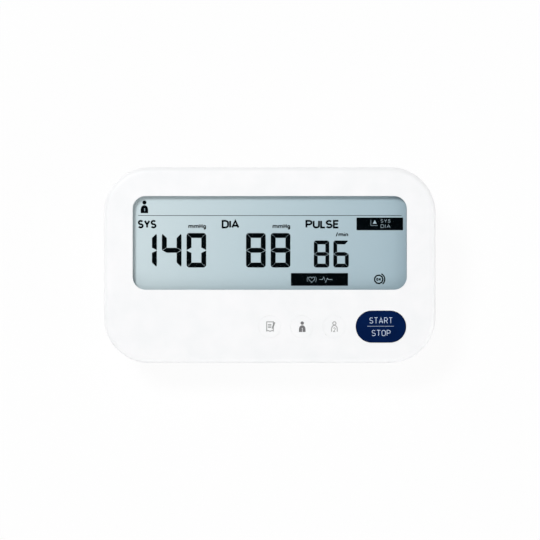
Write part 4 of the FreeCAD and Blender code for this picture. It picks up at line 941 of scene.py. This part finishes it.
def make_readings():
    """The segments, words and symbols that the display shows."""
    ink = size("ink")
    dark = display_segments()
    # The clear segments take the film's shaded-side colour, which carries the painted shade.
    pale = printed_ink("Clear display segment", tint("display_shaded_side"))

    def show(name, meshes, finish=dark, layer=0):
        height = FILM_HIGH[2] + ink * (layer + 0.5)
        mesh = seal(to_face(joined(name, meshes), 0, 0, height))
        add_piece(mesh, "housing", finish, "polariser_film")

    def shape(*outlines):
        return flat_shape("Shape", outlines, ink)

    def block(width, x, y):
        return shape(rounded_outline(width, 6.9, 0.35, 4)[0] + (x, y))

    main, pulse, stroke = size("main_digit"), size("pulse_digit"), size("stroke")
    for name, reading in (
        ("upper_reading", ("140", main, stroke, 13.4, -34.5)),
        ("lower_reading", ("88", main, stroke, 13.4, 11.2)),
        ("pulse_reading", ("86", pulse, stroke * pulse / main, 10.6, 42.9)),
    ):
        show(name, [shape(*number_outlines(*reading))])
    show("display_line", [shape(((-71.4, 26.8), (71.6, 26.8), (71.6, 27.08), (-71.4, 27.08)))])
    user = np.array((-68.05, 31.7))
    show("display_user", [shape(part + user) for part in person_parts(4.0, 6.9)])
    show("display_user_number", [lettering("1", (-68.35, -67.75, 29.2, 30.9), 0.3)], pale, 1)

    bold, light = (1.0, 0.04), (0.56, 0.1)  # the width of a stroke, and the space
    names, units = (19.95, 24.55), (19.9, 22.5)  # their bases and tops
    for name, text, left, right, row, pen in (
        ("upper_name", "SYS", -71.7, -61.5, names, bold),
        ("lower_name", "DIA", -26.1, -16.5, names, bold),
        ("pulse_name", "PULSE", 19.4, 37.8, names, bold),
        ("upper_unit", "mmHg", -44.25, -34.6, units, light),
        ("lower_unit", "mmHg", 1.5, 11.1, units, light),
        ("pulse_unit", "/min", 35.8, 42.6, (15.5, 17.95), light),
    ):
        show(name, [lettering(text, (left, right, *row), *pen)])

    show("trend_block", [block(25.3, 59.75, 22.4)])
    thin = 0.15
    trend = [
        lettering("SYS", (60.3, 65.5, 23.1, 24.9), thin, 0.4),
        lettering("DIA", (60.3, 65.5, 20.3, 22.1), thin, 0.4),
        shape([(55.95, 22.5), (58.05, 22.5), (57.0, 24.5)]),
        pen_stroke([(54.9, 24.6), (54.9, 21.5), (58.6, 21.5)], thin, ink),
    ]
    show("trend_signs", trend, pale, 1)

    show("rhythm_block", [block(31.0, 27.0, -7.75)])
    heart = heart_outline(3.4, 22.8, -7.7)
    beat_x = (27.0, 28.6, 29.3, 30.4, 31.3, 31.8, 34.0)
    beat_y = (-7.8, -7.8, -6.4, -9.4, -7.0, -7.8, -7.8)
    rhythm = [
        pen_stroke([*heart, heart[0]], 0.2, ink),
        pen_stroke(list(zip(beat_x, beat_y)), 0.2, ink),
        pen_stroke(bow(22.8, -7.7, 2.5, 2.3, 140, 220), thin, ink),
        pen_stroke(bow(22.8, -7.7, 2.5, 2.3, -40, 40), thin, ink),
    ]
    show("rhythm_signs", rhythm, pale, 1)

    x, y = 59.15, -7.7
    cuff = [
        pen_stroke(bow(x, y, 2.3, 2.3, 0, 360), 0.75, ink),
        pen_stroke(bow(x, y, 3.3, 3.3, -50, 65), 0.7, ink),
        lettering("OK", (x - 1.35, x + 1.35, y - 0.85, y + 0.85), 0.5, 0.2),
    ]
    show("cuff_sign", cuff)


# Underside


def make_feet():
    """Four moulded rubber discs with rolled edges and a shallow dish in the middle."""
    low, high = row_box("rubber_feet")
    radius, edge, dish = 6.0, 0.5, 0.25
    profile = [(0, high[2]), *quarter_round(-edge, edge, edge, -90)[::-1]]
    profile += [(-radius * 0.35, 0.0), (-radius * 0.4, dish), (-radius * 0.95, dish)]
    meshes = [
        to_row(carried("Foot", round_outline(radius), profile), x, y, 0.0)
        for x, y in inner_corners(low, high, radius)
    ]
    finish = rubber("Grey moulded rubber", "#8C8E92", "#7E8084", 0.75)
    mesh = seal(joined("rubber_feet_moulded", meshes))
    add_piece(mesh, "housing", finish, "foot_rubber", "rubber_feet")


def cross_recess_head(radius, height):
    """A pan head seen from below: a dome with a cross sunk into it.

    The dome is height times the root of (1 - 0.6 r squared) of the way out. The cross sinks
    where a point is nearer than half its width to either axis and within its length."""
    r = np.linspace(1.0, 0.0, 20)[:, None]
    angle = np.linspace(0, math.tau, 48, endpoint=False)[None]
    x, y = radius * r * np.cos(angle), radius * r * np.sin(angle)
    dome = height * np.sqrt(1 - 0.6 * r**2)
    half = radius * 0.14
    near, far = np.sort(np.abs((x, y)), axis=0)
    within = np.clip((radius * 0.55 - far) / half, 0, 1)
    sunk = np.clip((half * 1.6 - near) / (half * 0.8), 0, 1) * within
    top = np.stack((x, y, height * 0.55 * sunk - dome), -1)
    rim = top[:1].copy()
    rim[..., 2] = 0.0
    return grid_mesh("Head", np.concatenate((rim, top)))


def threaded_shank(radius, length, pitch):
    """A shank whose radius swings with height minus angle, once per pitch, as a thread does."""
    z = np.linspace(0, length, int(length / pitch * 8))[:, None]
    angle = np.linspace(0, math.tau, 20, endpoint=False)[None]
    phase = (z / pitch - angle / math.tau) % 1.0
    ridge = np.clip(1 - np.abs(phase - 0.5) * 3.2, 0, 1)
    taper = np.clip((length - z) / (radius * 2), 0.25, 1)
    r = radius * (0.74 + 0.26 * ridge) * taper
    points = np.stack((r * np.cos(angle), r * np.sin(angle), np.broadcast_to(z, r.shape)), -1)
    return grid_mesh("Shank", points)


def make_case_screws():
    """Four pan-head screws with a cross recess and a cut thread, in their wells."""
    low, high = face_box("case_screws")
    radius, head = 2.75, 1.9
    length = high[2] - low[2] - head
    meshes = []
    for x, y in inner_corners(low, high, radius):
        shank = threaded_shank(1.18, length, size("thread_pitch"))
        screw = joined("Screw", [cross_recess_head(radius, head), shank])
        meshes.append(to_face(screw, x, y, low[2] + head))
    mesh = seal(joined("case_screws_threaded", meshes), 50.0)
    finish = metal("Zinc plated steel", "#B9BCC0", "#A6A9AD", 0.32)
    add_piece(mesh, "housing", finish, "screw_steel", "case_screws")


# Sockets


def make_sockets():
    """The air socket on the left, and the power socket and its pin on the right."""
    soft = size("soft_edge")
    grey = moulded("Grey moulded ABS", "#9EA3A8", "#959A9F", 0.45)
    black = moulded("Black moulded PBT", "#1E1F21", "#17181A", 0.42)
    dress(grey, "socket_plastic", "air_jack", radius=soft)
    dress(black, "dark_moulding", "power_jack", radius=soft)
    pin = metal("Nickel plated brass", "#D9D3C4", "#CBC5B4", 0.2)
    dress(pin, "pin_metal", "power_jack_pin", radius=soft)


# Batteries


def cell_mesh(name, radius, body, nub_radius, nub):
    """A round cell turned from half its section, standing on its flat end at z = 0."""
    sleeve = 0.18  # thickness of the sleeve where it ends at the positive cap
    section = [(radius * 0.55, 0.25), (radius * 0.62, 0.0)]
    section += [(radius - 1.0, 0.0), (radius - 0.75, 0.35), (radius - 0.5, 0.1)]
    section += [(radius - 0.15, 0.12), (radius, 0.5), (radius, body - 0.7)]
    section += [(radius - 0.2, body - 0.25), (radius - 0.8, body - 0.05)]
    section += [(radius - 1.2, body - 0.3), (radius - 1.4, body - 0.3 - sleeve)]
    section += [(nub_radius + 0.6, body - 0.3), (nub_radius, body - 0.15)]
    section += [(nub_radius, body + nub - 0.3), (nub_radius - 0.3, body + nub)]
    return carried(name, round_outline(1.0, 56), [(r - 1.0, z) for r, z in section])


def make_cells():
    """Four round cells: a printed sleeve with a gold shoulder, and bare steel ends."""
    steel = metal("Nickel plated cell steel", "#C9CBCD", "#BDBFC2", 0.25)
    codes = ("#202B36", "#293744")
    sleeve = grained("Printed shrink sleeve", codes, 0.28, 9.0, 1.2, 0.008, coat_weight=0.5)
    shoulder = new_material("Gold printed sleeve", "#B98A3A", 0.3, metallic=0.6, coat_weight=0.5)
    blend_colours(shoulder, pattern(shoulder, 9.0), ("#B08235", "#C29443"))
    for number in range(1, 5):
        node = f"battery_cell_{number}"
        corners = vertices_of(node) / MM
        low, high = row_box(node)
        middle = (low + high) / 2
        radius = (high[0] - low[0]) / 2
        away = np.hypot(corners[:, 0] - middle[0], corners[:, 2] - middle[2])
        wide = corners[away > radius * 0.9]
        body_low, body_high = wide[:, 1].min(), wide[:, 1].max()
        rearward = high[1] - body_high > body_low - low[1]
        nub = max(high[1] - body_high, body_low - low[1])
        mesh = cell_mesh(f"{node}_sleeved", radius, body_high - body_low, 2.75, nub)
        turn = Matrix.Rotation(math.radians(-90 if rearward else 90), 4, "X")
        start = body_low if rearward else body_high
        seal(to_row(mesh, middle[0], start, middle[2], turn))
        add_piece(mesh, "housing", sleeve, "cell_sleeve", node)
        mesh.materials.append(shoulder)
        mesh.materials.append(steel)
        paint_cell(mesh, middle * MM, radius * MM, start * MM, 1 if rearward else -1)


def paint_cell(mesh, middle, radius, start, forward):
    """Sleeve on the side, gold near the positive end, steel on what the sleeve leaves bare."""
    centres = read_places(mesh.polygons, "center")
    away = np.hypot(centres[:, 0] - middle[0], centres[:, 2] - middle[2])
    along = (centres[:, 1] - start) * forward
    slots = np.where(away < radius * 0.93, 2, np.where(along > along.max() * 0.72, 1, 0))
    mesh.polygons.foreach_set("material_index", slots.astype(np.int32))


def make_contacts():
    """Spring-steel contacts at both ends of the battery bay."""
    finish = metal("Nickel plated spring steel", "#C6C8CA", "#B6B8BB", 0.28, (1, 1, 6))
    dress(finish, "contact_metal", "front_battery_contacts", "rear_battery_contacts")


# What the closed case holds


CHIP_SIDES = ((1, 0), (-1, 0), (0, 1), (0, -1))


def leads(node, sides, count, pitch, width):
    """Bent leads along a chip's sides: out of the body, over to the board and along it."""
    low, high = face_box(node)
    middle, half = (low + high) / 2, (high - low) / 2
    foot = high[2] - 0.1
    path = [(-0.2, middle[2]), (0.35, middle[2]), (0.6, foot), (1.2, foot)]
    meshes = []
    for out in sides:
        along = (-out[1], out[0])
        for place in np.arange(count) - (count - 1) / 2:
            x, y = middle[:2] + out * half[:2] + np.multiply(along, pitch * place)
            rows = ((out[0], 0, along[0], x), (out[1], 0, along[1], y), (0, 1, 0, 0), (0, 0, 0, 1))
            meshes.append(pen_stroke(path, 0.15, width))
            meshes[-1].transform(Matrix(rows))
    return meshes


def small_block(x, y, low, high, width, height):
    """A small block with soft upright edges, between two levels of the face."""
    mesh = carried("Block", rounded_outline(width, height, 0.1, 3), ((0, low), (0, high)))
    mesh.transform(Matrix.Translation((x, y, 0)))
    return mesh


def make_soldered_parts():
    """Leads of the chips, tinned joints of the switches, and small chip parts in rows."""
    tin = metal("Bright tin solder", "#C9CCCF", "#B4B7BA", 0.28)

    def solder(name, meshes, finish=tin, slot="contact_metal"):
        add_piece(seal(to_face(joined(name, meshes))), "housing", finish, slot)

    made = leads("microcontroller", CHIP_SIDES, 11, 0.8, 0.35)
    made += leads("memory_chip", CHIP_SIDES[2:], 4, 1.27, 0.4)
    made += leads("voltage_regulator", CHIP_SIDES[3:], 3, 2.0, 0.7)
    solder("chip_leads", made)

    low, high = face_box("tact_switches")
    half = (high[1] - low[1]) / 2
    under, board = (corner[2] for corner in face_box("main_board"))
    joints = []
    for key in (*ROUND_KEYS, "start_stop"):
        middle = sum(face_box(f"{key}_switch_plunger")) / 2
        for across in (-half - 0.7, half + 0.7):
            for along in (-0.6 * half, 0.6 * half):
                x, y = middle[0] + across, middle[1] + along
                joints.append(small_block(x, y, board, board + 0.25, 1.6, 1.1))
    solder("switch_joints", joints)

    chip = face_box("microcontroller")[0]
    bodies, ends = [], []
    for row in range(2):
        for place in range(7):
            x, y = chip[0] - 4.0 + place * 3.2, chip[1] - 4.5 - row * 3.0
            bodies.append(small_block(x, y, under - 0.55, under, 1.2, 0.9))
            for end in (x - 0.8, x + 0.8):
                ends.append(small_block(end, y, under - 0.6, under, 0.45, 0.95))
    ceramic = moulded("Fired ceramic chips", "#2A2522", "#6E5A44", 0.4, 0.3, 0.004)
    solder("chip_parts", bodies, ceramic, "dark_moulding")
    solder("chip_part_ends", ends)


def make_board():
    """The board and everything soldered to it."""
    dress(solder_resist(), "circuit_board", "main_board")
    epoxy = moulded("Black moulded epoxy", "#1D1E20", "#161719", 0.55, 0.3, 0.01)
    chips = ("microcontroller", "memory_chip", "voltage_regulator", "buzzer")
    dress(epoxy, "dark_moulding", *chips, radius=0.1)
    dress(epoxy, "sensor_housing", "pressure_sensor", radius=0.1)
    can = metal("Sleeved aluminium can", "#BFC3C8", "#AEB2B8", 0.3)
    dress(can, "capacitor_can", "capacitors", radius=0.2)
    nylon = moulded("Natural moulded nylon", "#E9E6DA", "#DFDCCE", 0.5)
    dress(nylon, "connector_plastic", "battery_connector", "pump_connector")
    make_soldered_parts()


def make_pump():
    """The diaphragm pump and its motor."""
    black = moulded("Black moulded acetal", "#202225", "#191B1D", 0.45)
    dress(black, "pump_plastic", "pump_head", radius=0.3)
    dress(black, "pump_plastic", "pump_end_cap")
    white = moulded("White moulded acetal", "#E8E8E6", "#DEDEDB", 0.4)
    dress(white, "pump_plastic", "pump_crank")
    flexible = rubber("Black diaphragm rubber", "#191A1B", "#131415")
    dress(flexible, "soft_rubber", "pump_diaphragm")
    can = metal("Zinc plated motor can", "#BEC1C4", "#ABAEB2", 0.35, (1, 6, 1))
    dress(can, "motor_steel", "pump_motor_can", radius=0.2)
    dress(ferrite(), "magnet_ferrite", "pump_magnets")
    # The darker copper is painted shade in the grooves between turns.
    copper = wound_copper("Armature winding", "#B5652B", "#5E2F12", "Y")
    dress(copper, "armature_winding", "pump_armature")
    ground = metal("Ground shaft steel", "#D2D4D6", "#C2C4C7", 0.18, grain=0.2)
    dress(ground, "shaft_steel", "pump_shaft", "valve_plunger")


def make_air_path():
    """The manifold, the valves and the silicone tubes between them."""
    pbt = moulded("Cream moulded PBT", "#E6E5DE", "#DCDBD2", 0.5)
    dress(pbt, "manifold_plastic", "air_manifold")
    flexible = rubber("Black valve rubber", "#1C1D1E", "#151617")
    dress(flexible, "soft_rubber", "leak_valve", radius=0.4)
    ends = ("pump", "socket", "valve", "sensor")
    dress(silicone(), "silicone_tube", *(f"{end}_air_tube" for end in ends))
    steel = metal("Bent plated steel", "#B7BABD", "#A5A8AB", 0.33, (6, 1, 1))
    dress(steel, "valve_steel", "valve_frame")
    # The darker copper is painted shade in the grooves between turns.
    copper = wound_copper("Valve winding", "#B0602A", "#592C11", "X")
    dress(copper, "valve_winding", "valve_coil")


# Stage

IMAGE_WIDTH = 292.3  # width of the picture where it crosses the face
AIM = np.array((0.14, -2.63, 0.0))  # where the camera looks, in face millimetres
LENS_LENGTH = 135.0
SENSOR = 36.0
LAMP_DISTANCE = 3.0
# Each lamp's direction from the face, its size in metres and its watts
LAMPS = {
    "Key lamp": ((-0.42, 0.5, 0.9), 0.8, 53.0),
    "Side lamp": ((0.85, -0.3, 0.4), 1.6, 24.0),
    "Front lamp": ((0.1, -0.9, 0.4), 1.6, 18.0),
}


def seen_directly(material, *kinds):
    """1 where a ray is of one of these kinds, and 0 elsewhere."""
    rays = add_node(material, "LightPath").outputs
    seen = rays[f"Is {kinds[0]} Ray"]
    for kind in kinds[1:]:
        highest = {"operation": "MAXIMUM", 0: seen, 1: rays[f"Is {kind} Ray"]}
        seen = add_node(material, "Math", highest)
    return seen


def stage_floor():
    """A pale floor that looks white to the camera and keeps some of the object's shadow."""
    half = 3.0
    corners = [(-half, -half, 0), (half, -half, 0), (half, half, 0), (-half, half, 0)]
    mesh = bpy.data.meshes.new("stage_floor")
    mesh.from_pydata(corners, [], [(0, 1, 2, 3)])
    material = new_material("Pale paper floor", "#F4F4F4", 0.9)
    seen = seen_directly(material, "Camera", "Glossy")
    share = add_node(material, "Math", {"operation": "MULTIPLY", 0: seen, 1: 0.93})
    white = add_node(material, "Emission", {"Color": (1, 1, 1, 1), "Strength": 1.0})
    show_share(material, share, shader_of(material), white)
    mesh.materials.append(material)
    add_object("stage_floor", mesh)


def stage_world(horizon, zenith):
    """A pale surround that dims towards the top, as a light tent does.

    The camera and reflections see it as even white."""
    world = bpy.data.worlds.new("Pale surround")
    bpy.context.scene.world = world
    world.use_nodes = True
    place = add_node(world, "TexCoord").outputs["Generated"]
    height = add_node(world, "SeparateXYZ", {"Vector": place}).outputs["Z"]
    level = add_node(world, "MapRange", {"To Min": horizon, "To Max": zenith, "Value": height})
    seen = seen_directly(world, "Camera", "Glossy", "Transmission")
    strength = add_node(world, "MapRange", {"To Max": 1.0, "Value": seen, "To Min": level})
    ground = world.node_tree.nodes["Background"]
    world.node_tree.links.new(strength.outputs["Result"], ground.inputs["Strength"])
    ground.inputs["Color"].default_value = (1, 1, 1, 1)


def stage_lamp(name, direction, size, watts):
    """A square lamp that shines on the middle of the face from a direction."""
    lamp = bpy.data.lights.new(name, "AREA")
    lamp.energy = watts
    lamp.size = size
    made = add_object(name, lamp)
    away = Vector(np.array(direction) @ FACE_AXES).normalized()
    made.location = Vector(FACE_ORIGIN) + away * LAMP_DISTANCE
    made.rotation_euler = away.to_track_quat("Z", "Y").to_euler()


def stage_camera():
    """A long lens square on to the face."""
    data = bpy.data.cameras.new("Camera")
    data.lens = LENS_LENGTH
    data.sensor_width = SENSOR
    data.clip_end = 20.0
    camera = add_object("Camera", data)
    distance = LENS_LENGTH * IMAGE_WIDTH / SENSOR * MM
    place = FACE_ORIGIN + AIM @ FACE_AXES * MM + OUT * distance
    camera.matrix_world = Matrix.Translation(place) @ Matrix(FACE_AXES.T).to_4x4()
    bpy.context.scene.camera = camera


def make_stage():
    """Floor, surround, lamps and camera."""
    bpy.context.scene.view_settings.view_transform = "Standard"
    stage_floor()
    stage_world(0.8, 0.12)
    for name, lamp in LAMPS.items():
        stage_lamp(name, *lamp)
    stage_camera()


# Operators, panel and registration


class MONITOR_OT_case(bpy.types.Operator):
    """Make both halves of the moulded case"""

    bl_idname = "monitor.case"
    bl_label = "Case"

    def execute(self, context):
        make_case()
        return {"FINISHED"}


class MONITOR_OT_battery_cover(bpy.types.Operator):
    """Make the sliding battery cover"""

    bl_idname = "monitor.battery_cover"
    bl_label = "Battery cover"

    def execute(self, context):
        make_battery_cover()
        return {"FINISHED"}


class MONITOR_OT_keys(bpy.types.Operator):
    """Make the long key, the round keys and their switches"""

    bl_idname = "monitor.keys"
    bl_label = "Keys"

    def execute(self, context):
        make_start_key()
        for name in ROUND_KEYS:
            make_round_key(name)
        make_switches()
        return {"FINISHED"}


class MONITOR_OT_printing(bpy.types.Operator):
    """Print the lettering and icons on the keys"""

    bl_idname = "monitor.printing"
    bl_label = "Printing"

    def execute(self, context):
        make_icons()
        make_key_lettering()
        return {"FINISHED"}


class MONITOR_OT_display(bpy.types.Operator):
    """Make the window, the display and what it shows"""

    bl_idname = "monitor.display"
    bl_label = "Display"

    def execute(self, context):
        make_window()
        make_display()
        make_readings()
        return {"FINISHED"}


class MONITOR_OT_underside(bpy.types.Operator):
    """Make the feet and the case screws"""

    bl_idname = "monitor.underside"
    bl_label = "Feet and screws"

    def execute(self, context):
        make_feet()
        make_case_screws()
        return {"FINISHED"}


class MONITOR_OT_sockets(bpy.types.Operator):
    """Make the air socket and the power socket"""

    bl_idname = "monitor.sockets"
    bl_label = "Sockets"

    def execute(self, context):
        make_sockets()
        return {"FINISHED"}


class MONITOR_OT_batteries(bpy.types.Operator):
    """Make the cells and their contacts"""

    bl_idname = "monitor.batteries"
    bl_label = "Batteries"

    def execute(self, context):
        make_cells()
        make_contacts()
        return {"FINISHED"}


class MONITOR_OT_inside(bpy.types.Operator):
    """Make the board, the pump and the air path"""

    bl_idname = "monitor.inside"
    bl_label = "Board, pump and air path"

    def execute(self, context):
        make_board()
        make_pump()
        make_air_path()
        return {"FINISHED"}


class MONITOR_OT_stage(bpy.types.Operator):
    """Set up the floor, the light and the camera"""

    bl_idname = "monitor.stage"
    bl_label = "Stage"

    def execute(self, context):
        make_stage()
        return {"FINISHED"}


OPERATORS = (
    MONITOR_OT_case,
    MONITOR_OT_battery_cover,
    MONITOR_OT_keys,
    MONITOR_OT_printing,
    MONITOR_OT_display,
    MONITOR_OT_underside,
    MONITOR_OT_sockets,
    MONITOR_OT_batteries,
    MONITOR_OT_inside,
    MONITOR_OT_stage,
)


class MONITOR_PT_sidebar(bpy.types.Panel):
    """Everything that the monitor is made of, with its sizes and colours"""

    bl_idname = "MONITOR_PT_sidebar"
    bl_label = "Blood pressure monitor"
    bl_space_type = "VIEW_3D"
    bl_region_type = "UI"
    bl_category = "Monitor"

    def draw(self, context):
        for group in (context.scene.monitor_sizes, context.scene.monitor_finish):
            for name in group.__annotations__:
                self.layout.prop(group, name)
        for operator in OPERATORS:
            self.layout.operator(operator.bl_idname)


CLASSES = (MonitorSizes, MonitorFinish, *OPERATORS, MONITOR_PT_sidebar)


def register():
    for item in CLASSES:
        bpy.utils.register_class(item)
    bpy.types.Scene.monitor_sizes = PointerProperty(type=MonitorSizes)
    bpy.types.Scene.monitor_finish = PointerProperty(type=MonitorFinish)


def unregister():
    del bpy.types.Scene.monitor_finish
    del bpy.types.Scene.monitor_sizes
    for item in reversed(CLASSES):
        bpy.utils.unregister_class(item)


def main():
    """Register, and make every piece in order."""
    register()
    for operator in OPERATORS:
        group, name = operator.bl_idname.split(".")
        getattr(getattr(bpy.ops, group), name)()
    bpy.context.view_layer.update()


if __name__ == "__main__":
    main()
